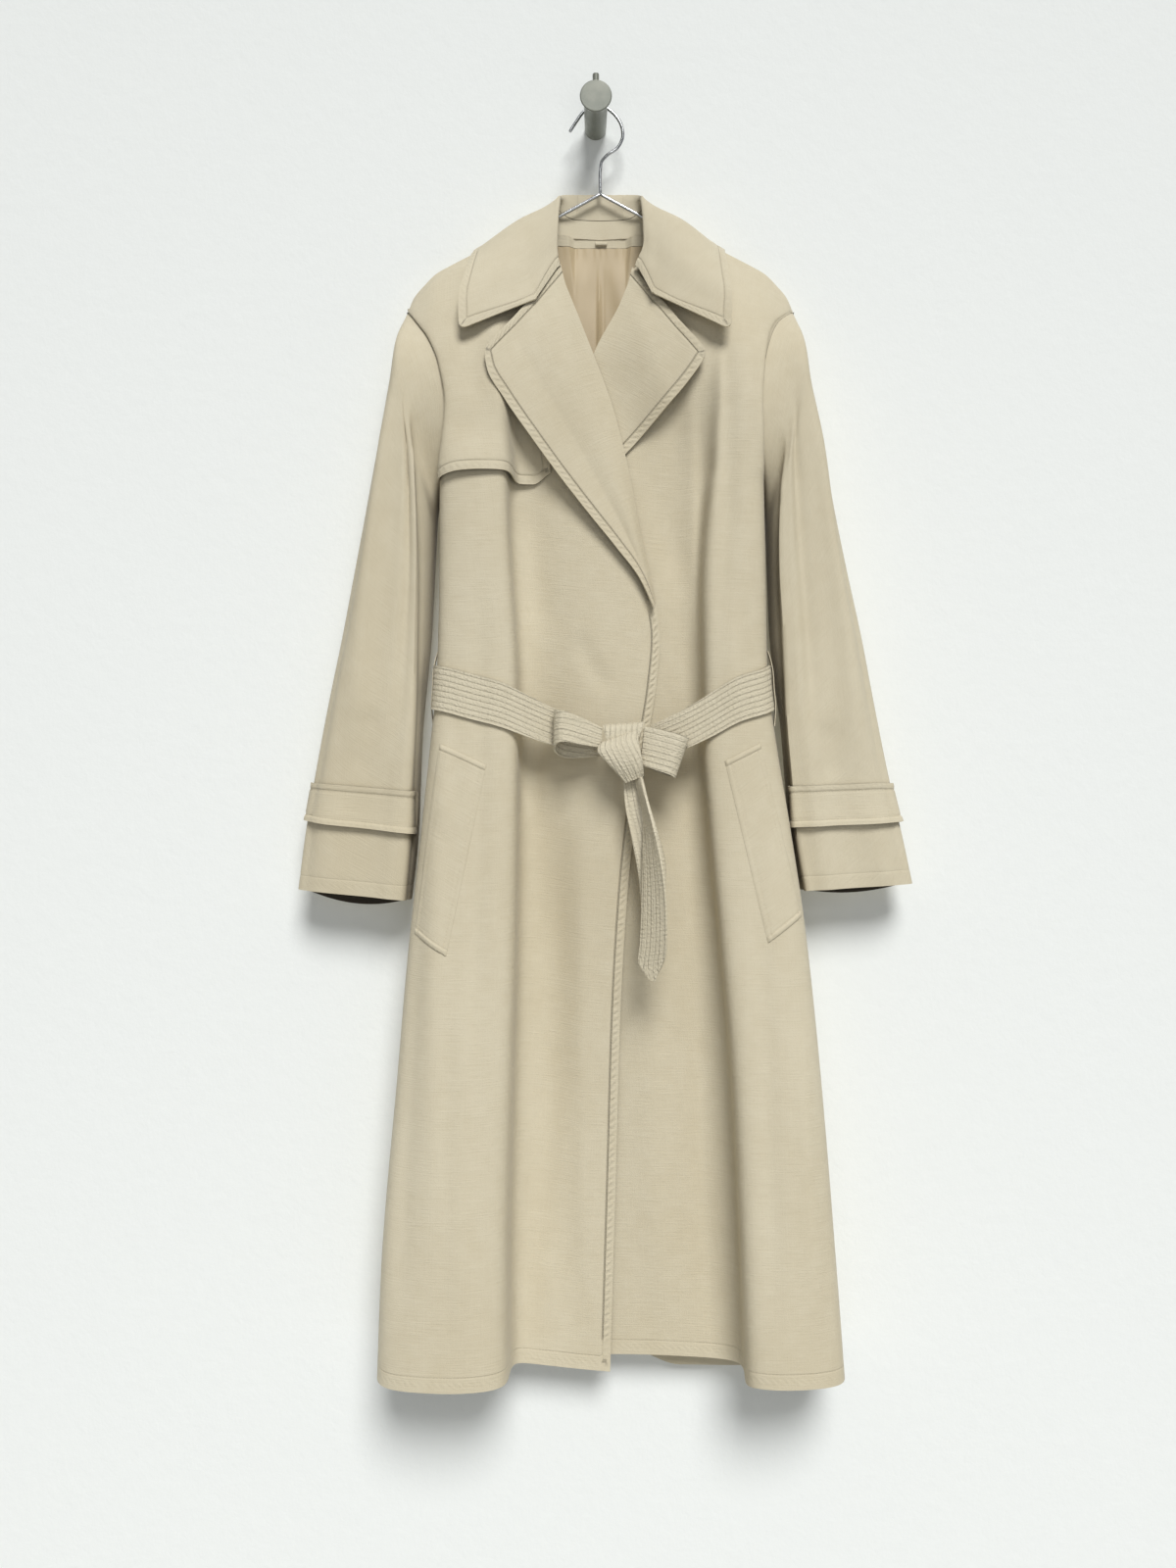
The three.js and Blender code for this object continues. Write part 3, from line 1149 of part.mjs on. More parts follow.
const cloth = new THREE.MeshStandardMaterial({ color: CLOTH_COLOUR, roughness: 0.85, metalness: 0 });
const beltCloth = new THREE.MeshStandardMaterial({ color: BELT_COLOUR, roughness: 0.88, metalness: 0 });
const lining = new THREE.MeshStandardMaterial({ color: LINING_COLOUR, roughness: 0.6, metalness: 0 });
const steel = new THREE.MeshStandardMaterial({ color: STEEL_COLOUR, roughness: 0.2, metalness: 1 });
const pegPaint = new THREE.MeshStandardMaterial({ color: PEG_COLOUR, roughness: 0.45, metalness: 0.6 });

const rightOnSeam = (t) => t;
const leftOnSeam = (t) => FRONT_END - t;

const pieces = {
  wall_peg: [wallPeg(), pegPaint],
  hanger: [hanger(), steel],
  front_right: [wall(frontGrid(overPoint, overHemZ, 27, false), CLOTH, { seamAt: () => 1 }), cloth],
  front_left: [wall(frontGrid(underPoint, underHemZ, 27, true), CLOTH, { seamAt: () => 1 }), cloth],
  back: [wall(backGrid(), CLOTH, { seamAt: (p) => 1 - behindNeck(p.x - COAT_X) }), cloth],
  sleeve_right: [sleeve(sleeveSides.right), cloth],
  sleeve_left: [sleeve(sleeveSides.left), cloth],
  cuff_strap_right: [cuffStrap(sleeveSides.right, RIGHT_STRAP), cloth],
  cuff_strap_left: [cuffStrap(sleeveSides.left, LEFT_STRAP), cloth],
  collar_stand: [collarStand(), cloth],
  collar_fall: [collarFall(), cloth],
  lapel_right: [lapel(OVER_LAPEL, overEdgeX, overY, overCover, true), cloth],
  lapel_left: [lapel(UNDER_LAPEL, underEdgeX, underY, underCover, false), cloth],
  storm_flap: [stormFlap(), cloth],
  pocket_welt_right: [welt(RIGHT_WELT, rightFoldT, false), cloth],
  pocket_welt_left: [welt(LEFT_WELT, leftFoldT, true), cloth],
  neck_facing: [neckFacing(), cloth],
  back_lining: [backLining(), lining],
  hanging_loop: [hangingLoop(), cloth],
  belt_back: [beltBack(), beltCloth],
  belt_front_right: [beltFront(RIGHT_BELT, rightOnSeam, false, RIGHT_KNOT, false), beltCloth],
  belt_front_left: [beltFront(LEFT_BELT, leftOnSeam, true, LEFT_KNOT, true), beltCloth],
  belt_knot: [knot(), beltCloth],
  bow_ear_right: [ribbon(RIGHT_EAR, 14, 3, BELT_CLOTH), beltCloth],
  bow_ear_left: [ribbon(LEFT_EAR, 14, 3, BELT_CLOTH), beltCloth],
  belt_tail_rear: [ribbon(REAR_TAIL, 9, 3, BELT_CLOTH), beltCloth],
  belt_tail_front: [ribbon(FRONT_TAIL, 12, 3, BELT_CLOTH), beltCloth],
  belt_loop_right: [beltLoop(-1, RIGHT_FRONT), cloth],
  belt_loop_left: [beltLoop(1, LEFT_FRONT), cloth],
};

const coat = new THREE.Group();
for (const [name, [geometry, material]] of Object.entries(pieces)) {
  const mesh = new THREE.Mesh(geometry, material);
  mesh.name = name;
  coat.add(mesh);
}

export default coat;
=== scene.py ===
"""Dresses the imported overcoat: fine cloth on the solids' own surfaces, stitching, materials, wall and light.

Lengths are millimetres in the row's frame until a mesh is made: +X is the wearer's left, -Y the front, +Z up.
"""

import math

import bpy
import numpy as np
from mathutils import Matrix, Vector


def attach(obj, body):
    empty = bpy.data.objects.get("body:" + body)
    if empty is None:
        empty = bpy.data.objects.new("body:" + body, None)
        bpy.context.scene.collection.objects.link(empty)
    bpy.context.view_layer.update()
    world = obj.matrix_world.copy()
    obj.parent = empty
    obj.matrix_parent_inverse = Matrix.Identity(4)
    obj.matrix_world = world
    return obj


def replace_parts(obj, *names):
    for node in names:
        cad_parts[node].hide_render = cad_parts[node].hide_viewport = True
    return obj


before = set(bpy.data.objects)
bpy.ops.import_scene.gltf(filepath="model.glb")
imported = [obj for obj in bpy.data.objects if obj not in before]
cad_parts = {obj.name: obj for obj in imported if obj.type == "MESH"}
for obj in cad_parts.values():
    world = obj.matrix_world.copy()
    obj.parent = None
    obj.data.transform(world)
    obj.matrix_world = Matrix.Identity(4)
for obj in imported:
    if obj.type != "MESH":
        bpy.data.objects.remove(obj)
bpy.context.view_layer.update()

# ---- sizes, as in the part's source

MM = 0.001
SIDES = (("right", -1), ("left", 1))
COAT_X = 5  # the coat's middle
SEAM_GAP = 0.3
CLOTH = 1.5
COLLAR_CLOTH = 1.8
LAPEL_CLOTH = 1.8
BELT_CLOTH = 2.4
BELT_LAY = 1.4
LINING_CLOTH = 1
LAY_GAP = 0.8
UNDER_SET = 8
PIT_Z = -398
NECK_HALF = 53
SEAM_Y = -24
CHEST_DROP = 170
BACK_DROP = 110
HEM_Z = -1298
BACK_Y = -11
ARMHOLE_GAP = 0.3
WIRE_R = 1.75
HANGER_Y = -24.8
HANGER_TOP = -79.4
ARM_SLOPE = 0.54
ARM_REACH = 163


def table(columns, *rows):
    """A short table as {column: its values}."""
    return dict(zip(columns.split(), np.array(rows, float).T))


SHOULDER = table(
    "x z",
    (53, -98.8), (100, -124), (137, -143.5), (160, -155.5),
    (173, -163), (186, -176), (196, -188), (203, -204),
)
NECKLINE = table("x z", (0, -125), (25, -124), (42, -117), (53, -98.8))
RIGHT_FRONT = table(
    "z seam seamY side crest fold valley soft",
    (-204, 203, -76, 200, -84, 108, -72, 34),
    (-222, 191, -77, 188, -84, 106, -70, 32),
    (-240, 179, -78, 176, -84, 105, -68, 30),
    (-272, 165, -79, 163, -85, 103, -65, 26),
    (-315, 157, -79, 156, -88, 100, -60, 18),
    (-350, 159, -76, 159, -90, 98, -56, 12),
    (-378, 162, -62, 163, -92, 97, -54, 8),
    (-398, 163, -36, 165, -93, 96, -53, 6),
    (-490, 162, -35, 165, -94, 91, -51, 4),
    (-590, 163, -34, 166, -94, 86, -50, 4),
    (-660, 170, -34, 173, -96, 85, -49, 4),
    (-740, 180, -35, 183, -99, 85, -48, 4),
    (-850, 193, -36, 196, -104, 86, -47, 4),
    (-1000, 205, -37, 208, -110, 90, -46, 4),
    (-1190, 219, -38, 223, -117, 94, -45, 4),
    (-1300, 223, -38, 227, -120, 94, -45, 4),
)
LEFT_FRONT = table(
    "z seam seamY side crest fold valley soft",
    (-204, 203, -76, 200, -84, 124, -72, 36),
    (-222, 184, -77, 181, -84, 123, -70, 34),
    (-240, 175, -78, 172, -84, 122, -68, 30),
    (-272, 167, -79, 165, -85, 120, -65, 25),
    (-315, 163, -79, 162, -88, 118, -60, 17),
    (-350, 164, -76, 164, -90, 116, -56, 11),
    (-378, 165, -62, 166, -91, 115, -54, 8),
    (-398, 165, -36, 167, -92, 113, -53, 6),
    (-490, 166, -35, 169, -93, 108, -51, 3),
    (-590, 168, -34, 171, -93, 106, -50, 2),
    (-660, 177, -34, 180, -95, 105, -49, 1),
    (-740, 190, -35, 193, -98, 110, -48, 0),
    (-850, 206, -36, 209, -103, 120, -47, -2),
    (-1000, 221, -37, 224, -110, 132, -46, -3),
    (-1190, 235, -38, 239, -116, 141, -45, -4),
    (-1300, 243, -38, 247, -119, 145, -45, -4),
)
FRONTS = {-1: RIGHT_FRONT, 1: LEFT_FRONT}
MIDDLE = table(
    "z y",
    (-204, -66), (-300, -63), (-390, -65), (-550, -71), (-640, -73),
    (-750, -69), (-900, -59), (-1100, -51), (-1300, -46),
)
OVER_EDGE = table(
    "z x",
    (-98, -53), (-130, -50), (-168, -42), (-228, -20), (-264, -6), (-310, 11), (-358, 24), (-440, 41),
    (-517, 57), (-551, 61), (-598, 57), (-700, 40), (-819, 27), (-949, 20), (-1099, 16), (-1310, 10),
)
UNDER_EDGE = table(
    "z x",
    (-98, 53), (-130, 49), (-168, 34), (-207, 19), (-258, -7), (-310, -21),
    (-380, -35), (-440, -46), (-517, -60), (-551, -64), (-700, -44), (-1300, -12),
)
OVER_LAPEL = table(
    "i roll x y z sag",
    (0, -171, -118, -92.5, -262, 11),
    (1, -190, -114, -93, -284, 3),
    (2, -228, -96, -91, -314, 0),
    (3, -264, -71, -87, -349, 0),
    (4, -310, -41, -81, -389, 0),
    (5, -358, -11, -79, -427, 0),
    (6, -408, 16, -78, -460, 0),
    (7, -462, 39, -77, -490, 0),
    (8, -512, 54.5, -75, -521, 0),
)
UNDER_LAPEL = table(
    "i roll x y z sag",
    (0, -171, 108, -83, -262, 9),
    (1, -186, 100, -82, -276, 3),
    (2, -207, 84, -79, -297, 0),
    (3, -232, 63, -75, -320, 0),
    (4, -258, 40, -71, -345, 0),
    (5, -310, 5, -62, -385, 0),
    (6, -380, -25, -60, -430, 0),
    (7, -450, -44, -60, -480, 0),
    (8, -510, -56.5, -60, -520, 0),
)
# Neck seam (n), roll (r), middle of the fall (m) and its edge (e), from the centre back to the gorge.
COLLAR = table(
    "a nx ny nz rx ry rz mx my mz ex ey ez",
    (0, 0, -15.6, -124, 0, -13, -75, 0, -7.5, -108, 0, -5.5, -150),
    (1, 26, -16.8, -122.5, 24, -14.5, -75.5, 34, -8, -108, 62, -5.5, -153),
    (2, 43, -21, -112, 37, -19, -77.5, 66, -9, -108, 108, -9, -150),
    (3, 52, -24, -95.5, 42, -29, -82.5, 84, -22, -109, 131, -20, -136),
    (4, 48.5, -32, -110, 43, -42, -88.5, 86, -39, -112, 134, -38, -146),
    (5, 46, -42, -133, 45, -54, -115, 90, -62, -147, 139, -68, -176),
    (6, 43, -50, -154, 45.5, -59, -144, 90, -75, -184, 144, -86, -212),
    (7, 41, -53, -167, 41.5, -60, -167, 74, -74, -206, 143, -91, -243),
)
STAND_SHARE = 0.42
RIGHT_SLEEVE = table(
    "k outX outZ inX inZ front back crease fold dip",
    (0, 203, -204, 165, -398, -76, -15, 0.42, 0, 0),
    (1, 211, -240, 168.7, -420, -77, -13, 0.45, 0.15, 0),
    (2, 218, -288, 170.4, -444, -82, -12, 0.6, 0.5, 0),
    (3, 229, -345, 172, -470, -82, -12, 0.75, 0.85, 0),
    (4, 242, -412, 174, -503, -80, -12, 0.84, 1, 0),
    (5, 255, -480, 176.5, -545, -78, -12, 0.89, 1, 0),
    (6, 268, -548, 181, -592, -76, -12, 0.945, 1, 0),
    (7, 282, -616, 186, -642, -74, -13, 1, 1, 0),
    (8, 295, -684, 188.5, -695, -70, -14, 1, 1, 2),
    (9, 306, -748, 191.3, -757, -66, -16, 1, 1, 6),
    (10, 314, -809, 198, -820, -63, -19, 1, 1, 12),
)
LEFT_SLEEVE = table(
    "k outX outZ inX inZ front back crease fold dip",
    (0, 203, -204, 167, -398, -76, -15, 0.5, 0, 0),
    (1, 210, -240, 170.7, -420, -77, -13, 0.6, 0.15, 0),
    (2, 217, -288, 172.4, -444, -82, -12, 0.75, 0.5, 0),
    (3, 229, -345, 173.5, -470, -82, -12, 0.85, 0.85, 0),
    (4, 241, -412, 175, -503, -80, -12, 0.89, 1, 0),
    (5, 255, -480, 177, -545, -78, -12, 0.9, 1, 0),
    (6, 270, -548, 182, -592, -76, -12, 0.94, 1, 0),
    (7, 283, -616, 189, -642, -74, -13, 1, 1, 0),
    (8, 297, -684, 193.5, -695, -70, -14, 1, 1, 1),
    (9, 312, -748, 198.5, -753, -66, -16, 1, 1, 4),
    (10, 324, -803, 209, -810, -63, -19, 1, 1, 8),
)
SLEEVES = {-1: RIGHT_SLEEVE, 1: LEFT_SLEEVE}
SLEEVE_RINGS = 10
BACK_SEAM = table(
    "z x y",
    (-204, 203, -24), (-240, 187, -19), (-300, 173, -16),
    (-350, 169, -18), (-380, 167, -25), (-398, 164, -35.4),
)
BACK_FOLDS = ((-120, 7, 32), (-38, 5, 26), (52, 6, 30), (135, 7, 30))  # x, depth, width
OVER_HEM = table(
    "u z", (0, -1291), (0.15, -1298), (0.3, -1301), (0.4, -1301), (0.6, -1298), (0.7, -1298), (1, -1310)
)
UNDER_HEM = table("u z", (0, -1294), (0.15, -1298), (0.45, -1298), (0.6, -1303), (0.95, -1295), (1, -1295))
FLAP_HEM = table("u z", (0, -394), (0.25, -386), (0.5, -385), (0.8, -392), (0.93, -392), (1, -381))
FLAP_SEAM = table("z t", (-140, 0.2), (-240, 0.6), (-330, 1.2), (-394, 1.8))
RIGHT_WELT = {"top": (-160, -660, -115, -681), "bottom": (-190, -850, -154, -872)}
LEFT_WELT = {"top": (124, -677, 160, -659), "bottom": (167, -859, 202, -833)}
BELT_OUT = BELT_LAY + BELT_CLOTH
BELT_WIDE = 45
RIGHT_BELT = table("t z", (0, -578), (2, -580), (3, -583), (4, -590), (5.4, -600))
LEFT_BELT = table("t z", (0, -578), (2, -580), (3, -585), (4, -591), (5.2, -605))
RIGHT_KNOT = {"x": -2, "y": -87, "top": -642, "bottom": -673}
LEFT_KNOT = {"x": 50, "y": -87, "top": -641, "bottom": -676}
RIBBON = "ax ay az bx by bz"
RIGHT_EAR = table(
    RIBBON,
    (5.6, -103, -644, 4.4, -103, -664),
    (-16, -109, -634, -16, -110, -661),
    (-35, -110, -627, -36, -113, -659),
    (-39.5, -103.5, -626, -40.5, -105, -664),
    (-35, -96, -627.5, -36, -96, -672),
    (-14, -94.5, -635, -14, -94.5, -674),
    (6, -93.5, -643, 4, -93.5, -672),
)
LEFT_EAR = table(
    RIBBON,
    (48, -93.5, -644, 44, -93.5, -680),
    (68, -94.5, -649, 58, -94.5, -687),
    (86, -96, -653, 73, -96, -692),
    (90.5, -102, -654, 77, -103, -693.5),
    (86, -108, -652, 73, -108, -691),
    (68, -106, -647, 59, -106, -686),
    (49, -101.5, -643, 45, -101.5, -681),
)
REAR_TAIL = table(
    RIBBON,
    (27, -97.8, -692, 46, -97.8, -690),
    (29, -97, -722, 53, -92, -720),
    (35, -96, -753, 62, -90, -750),
    (42, -93, -790, 70, -88, -784),
    (45, -90, -820, 68, -86, -815),
    (48, -88, -850, 66, -85, -846),
)
FRONT_TAIL = table(
    RIBBON,
    (40.5, -103, -694.4, 45.5, -110, -693.2),
    (44.5, -102, -712, 50, -118, -712),
    (48, -102, -730, 56, -124, -735),
    (48, -102, -770, 64, -127, -772),
    (47, -103, -815, 69, -125, -815),
    (45, -104, -860, 69.5, -123, -856),
    (43.5, -104, -878, 69, -122, -868),
    (55, -113, -894, 57.5, -114.5, -895),
)
# The knot's two layers: the belt goes up behind, and wraps over itself in front.
KNOT_UNDER = table(
    RIBBON,
    (6, -98, -641, 49, -98, -638),
    (7, -104, -643, 48, -104, -640),
    (9, -107, -652, 44, -107, -650),
    (12, -107, -664, 40, -107, -662),
)
KNOT_BAND = table(
    RIBBON,
    (9, -101, -658, 39.5, -101, -646),
    (4, -108, -660, 40, -108, -647.5),
    (1.5, -112.5, -667, 41.5, -112.5, -655),
    (7, -114, -675, 44, -115, -668),
    (18, -112, -687, 46.5, -113, -682),
    (29, -107.5, -699.5, 47.5, -107.5, -692),
)
HOOK = (
    (-27.5, -14), (-20.5, -3), (-12.5, 7.5), (-1, 14), (11, 11.5), (21, 3.5), (27.5, -8),
    (28.5, -19), (23, -30.5), (12, -38.5), (6.2, -45.5), (5, -54), (5, HANGER_TOP),
)

# ---- curves


def mix(a, b, t):
    return a + (b - a) * t


def smooth(t):
    t = np.clip(t, 0, 1)
    return t * t * (3 - 2 * t)


def vec(x, y, z):
    return np.stack(np.broadcast_arrays(x, y, z), -1).astype(float)


def unit(v):
    return v / np.maximum(np.linalg.norm(v, axis=-1, keepdims=True), 1e-9)


def hermite(a, b, enter, leave, t):
    """Cubic from a to b with these tangents."""
    return (
        a * (1 + 2 * t) * (1 - t) ** 2
        + enter * t * (1 - t) ** 2
        + b * t * t * (3 - 2 * t)
        + leave * t * t * (t - 1)
    )


def pair(a, b):
    """Both as arrays of floats of one shape."""
    return np.broadcast_arrays(np.asarray(a, float), np.asarray(b, float))


def length_along(path):
    """Length from a path's first point to each of its points."""
    return np.r_[0, np.cumsum(np.linalg.norm(np.diff(path, axis=0), axis=-1))]


def at_length(s, run, values):
    """Values of a path's points at lengths s."""
    return np.stack([np.interp(s, run, values[:, axis]) for axis in range(3)], -1)


def read(rows, key, value):
    """Every column of a table at values of its key, on curves that never overshoot their rows."""
    order = np.argsort(rows[key])
    x = rows[key][order]
    at = np.clip(value, x[0], x[-1])
    i = np.clip(np.searchsorted(x, at, side="right") - 1, 0, len(x) - 2)
    h = x[i + 1] - x[i]
    found = {}
    for name, column in rows.items():
        y = column[order]
        rise = np.diff(y) / np.diff(x)
        before, after = rise[:-1], rise[1:]
        rising = before * after > 0
        inner = np.where(rising, 2 * before * after / np.where(rising, before + after, 1), 0)
        slope = np.concatenate([rise[:1], inner, rise[-1:]])
        found[name] = hermite(y[i], y[i + 1], slope[i] * h, slope[i + 1] * h, (at - x[i]) / h)
    return found


def spline(controls, t, closed=False):
    """Points of uniform cubic B-splines. controls is (..., n, 2) and t is (...)."""
    t = np.asarray(t, float)
    n = controls.shape[-2]
    if closed:
        i = np.floor(t).astype(int)
    else:
        i = np.clip(np.floor(t).astype(int), 0, n - 2)
        first = 2 * controls[..., :1, :] - controls[..., 1:2, :]
        last = 2 * controls[..., -1:, :] - controls[..., -2:-1, :]
        controls = np.concatenate([first, controls, last], -2)
    f = t - i
    weights = ((1 - f) ** 3, 3 * f**3 - 6 * f * f + 4, -3 * f**3 + 3 * f * f + 3 * f + 1, f**3)
    shape = np.broadcast_shapes(t.shape, controls.shape[:-2])
    controls = np.broadcast_to(controls, shape + controls.shape[-2:])
    total = 0
    for j, weight in enumerate(weights):
        index = (i + j - 1) % n if closed else i + j
        index = np.broadcast_to(index, shape)[..., None, None]
        total = total + weight[..., None] / 6 * np.take_along_axis(controls, index, -2)[..., 0, :]
    return total


def along(points, shares):
    """Points at shares of the length of curves through points, (..., n, 3). Gives (..., shares, 3)."""
    steps = np.linalg.norm(np.diff(points, axis=-2), axis=-1)
    rise = np.diff(points, axis=-2) / steps[..., None]
    before, after = steps[..., :-1, None], steps[..., 1:, None]
    inner = (rise[..., 1:, :] * before + rise[..., :-1, :] * after) / (before + after)
    tangents = np.concatenate([rise[..., :1, :], inner, rise[..., -1:, :]], -2)
    ends = np.concatenate([np.zeros_like(steps[..., :1]), np.cumsum(steps, -1)], -1)
    s = shares * ends[..., -1:]
    i = np.clip((s[..., None] >= ends[..., None, :]).sum(-1) - 1, 0, steps.shape[-1] - 1)
    h = np.take_along_axis(steps, i, -1)
    t = ((s - np.take_along_axis(ends, i, -1)) / h)[..., None]

    def pick(values, index):
        return np.take_along_axis(values, index[..., None], -2)

    h = h[..., None]
    return hermite(pick(points, i), pick(points, i + 1), pick(tangents, i) * h, pick(tangents, i + 1) * h, t)


def even_places(point_of, low, high, step, dense=()):
    """Places between low and high that lie about step apart on a curve. dense gives stretches with closer
    ones, as (from end, millimetres, step), where from end is 0 for low and 1 for high."""
    fine = np.linspace(low, high, 400)
    length = length_along(point_of(fine))
    pace = np.full(len(fine), 1 / step)
    for end, reach, close in dense:
        pace[(length[-1] - length if end else length) < reach] = 1 / close
    count = np.r_[0, np.cumsum(np.diff(length) * (pace[1:] + pace[:-1]) / 2)]
    return np.interp(np.linspace(0, count[-1], max(4, round(count[-1])) + 1), count, fine)


def even_shares(length, step, dense):
    """Shares of a straight length, spaced as even_places does."""
    return even_places(lambda share: vec(length * share, 0, 0), 0, 1, step, dense)


def folds(rows, x, z):
    """Height of soft folds at x, z. Each runs between two points, bowed to one side, with soft ends."""
    total = np.zeros(np.broadcast(x, z).shape)
    for x0, z0, x1, z1, bow, wide, deep in rows:
        dx, dz = x1 - x0, z1 - z0
        length = math.hypot(dx, dz)
        s = ((x - x0) * dx + (z - z0) * dz) / length**2
        off = ((x - x0) * dz - (z - z0) * dx) / length - bow * 4 * s * (1 - s)
        total += deep * np.exp(-((off / wide) ** 2)) * smooth(s / 0.3) * smooth((1 - s) / 0.3)
    return total


# ---- the coat's own surfaces

# Soft folds laid on the fronts: from x, z to x, z, bow, width and height, all in millimetres.
FRONT_CREASES = (
    (-150, -420, -158, -1280, 6, 13, 3.0),
    (-118, -450, -126, -1000, -5, 10, -2.7),
    (-172, -690, -196, -1290, 3, 11, -3.2),
    (-128, -860, -132, -1295, 4, 11, 2.7),
    (-62, -660, -68, -1290, -6, 16, -4.1),
    (-36, -680, -40, -1290, 5, 15, -4.6),
    (-10, -720, -8, -1300, 3, 12, 3.5),
    (60, -900, 72, -1290, 4, 18, 3.5),
    (110, -860, 118, -1290, 3, 12, -3.2),
    (156, -700, 176, -1290, -4, 12, -3.5),
    (205, -900, 222, -1280, 3, 9, 2.7),
    (138, -420, 140, -640, 3, 10, 2.7),
    (-146, -640, -150, -760, 3, 10, 2.2),
    (-20, -540, 20, -610, 6, 10, -2.2),
    (20, -650, 60, -760, -5, 9, 2.4),
    (-70, -390, -50, -560, 5, 16, -3.0),
    (40, -300, 100, -520, 8, 18, -3.0),
    (-60, -720, -40, -640, 3, 8, 2.2),
    (100, -720, 84, -640, 3, 8, 2.2),
    (-118, -205, -122, -330, 4, 11, -2.7),
    (-92, -210, -96, -350, 3, 9, 2.2),
    (98, -120, 104, -620, 0, 15, 7),
    (130, -120, 134, -620, 0, 14, -6),
    (176, -215, 166, -380, 3, 8, 2.2),
    (-30, -1000, -48, -1290, 6, 12, 2.4),
)
SIDE_CONTROLS = 10
FRONT_END = 22
MIDDLE_START, MIDDLE_END = 9, 13
MIDDLE_SHARES = (0.25, 0.5, 0.75)
SET_SHARES = (1, 1, 1, 0.9, 0.75, 0.45, 0.15)
ON_FOLD = (2.2, 6)  # section places between which a big fold's crest lies


def shoulder_z(x):
    return read(SHOULDER, "x", np.abs(x))["z"]


def fullness(x, z, drop):
    return 1 - (1 - np.clip((shoulder_z(x) - z) / drop, 0, 1)) ** 2


def side_controls(rows, z, sign):
    _, seam, seam_y, side, crest, fold, valley, soft = read(rows, "z", z).values()
    wide, deep, drop = side - fold, seam_y - crest, valley - crest
    x = (
        seam, side, side, side - 0.13 * wide, side - 0.45 * wide,
        fold + 0.2 * wide, fold - 1, fold - 0.3 * soft, fold - soft, fold - 20 - soft,
    )
    y = (
        seam_y, seam_y - 0.3 * deep, seam_y - 0.72 * deep, crest + 0.1 * deep, crest,
        crest, crest + 0.1 * drop, crest + 0.55 * drop, valley - 0.06 * drop, valley,
    )
    return np.stack([sign * np.stack(x, -1), np.stack(y, -1)], -1)


def front_controls(z, under):
    right = side_controls(RIGHT_FRONT, z, -1)
    left = side_controls(LEFT_FRONT, z, 1)[..., ::-1, :]
    middle_y = read(MIDDLE, "z", z)["y"]
    start, end = right[..., -1, :], left[..., 0, :]
    middle = []
    for share in MIDDLE_SHARES:
        straight = mix(start, end, share)
        pulled = 1 - (2 * share - 1) ** 2 * 0.6
        middle.append(np.stack([straight[..., 0], mix(straight[..., 1], middle_y, pulled)], -1))
    controls = np.concatenate([right, np.stack(middle, -2), left], -2)
    if under:
        shares = np.ones(FRONT_END + 1)
        shares[SIDE_CONTROLS:] = 0
        shares[SIDE_CONTROLS : SIDE_CONTROLS + len(SET_SHARES)] = SET_SHARES
        controls[..., 1] += UNDER_SET * shares
    return controls


def front_base(t, z, under):
    xy = spline(front_controls(z, under), t)
    x = xy[..., 0]
    return vec(x + COAT_X, mix(SEAM_Y - SEAM_GAP / 2, xy[..., 1], fullness(x, z, CHEST_DROP)), z)


def front_facing(t, z, under):
    side = front_base(t + 0.05, z, under) - front_base(t - 0.05, z, under)
    up = front_base(t, z + 2, under) - front_base(t, z - 2, under)
    return unit(np.cross(side, up))


def front_point(t, z, under=False, out=0.0):
    """A point of a front's outer face at a section place t and a height z, moved out by a distance."""
    t, z = pair(t, z)
    base = front_base(t, z, under)
    x = base[..., 0]
    from_seam = smooth(np.minimum(t, FRONT_END - t) / 1.2)
    from_top = smooth((shoulder_z(x - COAT_X) - z) / 130)
    relief = folds(FRONT_CREASES, x, z) * from_seam * from_top
    return base + front_facing(t, z, under) * (relief + out)[..., None]


def place_at(controls, x, low, high):
    """Section places between low and high where x reaches a value."""
    low, high = np.full(np.shape(x), float(low)), np.full(np.shape(x), float(high))
    for _ in range(30):
        middle = (low + high) / 2
        short = spline(controls, middle)[..., 0] < x
        low, high = np.where(short, middle, low), np.where(short, high, middle)
    return (low + high) / 2


def middle_t(x, z, under):
    return place_at(front_controls(z, under), x, MIDDLE_START - 1, MIDDLE_END + 1)


def fold_t(x, z, under):
    """Section places on the big fold of the over front, or of the under one."""
    low, high = (FRONT_END - place for place in ON_FOLD[::-1]) if under else ON_FOLD
    return place_at(front_controls(z, under), x, low, high)


def edge_x(z, under):
    return read(UNDER_EDGE if under else OVER_EDGE, "z", z)["x"]


def surface_y(x, z, under):
    return front_point(middle_t(x, z, under), z, under)[..., 1]


def panel_point(u, z, under):
    """A point of a front: u goes from its side seam to its edge."""
    return front_point(mix(FRONT_END if under else 0, middle_t(edge_x(z, under), z, under), u), z, under)


TOP_GUESS, TOP_STEPS = -150, 12
WAIST_Z = -900  # height at which a panel's columns are spaced
ABOVE_PIT = 250
ROW_STEP = 4.2
COLUMN_STEP = 4.0
BACK_STEP = 4.6
EDGE_BAND = 20  # beside a stitched edge, with closer columns
EDGE_STEP = 1.6


def level(count, z):
    return np.full(count, float(z))


def top_z(point_of, u, top_of=shoulder_z):
    z = level(len(u), TOP_GUESS)
    for _ in range(TOP_STEPS):
        z = top_of(point_of(u, z)[..., 0] - COAT_X)
    return z


def panel_rows(hem, top, low_step):
    """Heights of a panel's rows, from its hem up past the bottom of the armhole to its top edge."""
    low = np.linspace(0, 1, round((PIT_Z - HEM_Z) / low_step) + 1)[:-1]
    high = np.linspace(0, 1, round(ABOVE_PIT / ROW_STEP) + 1)
    return np.concatenate([mix(hem, PIT_Z, low[:, None]), mix(PIT_Z, top, high[:, None])])


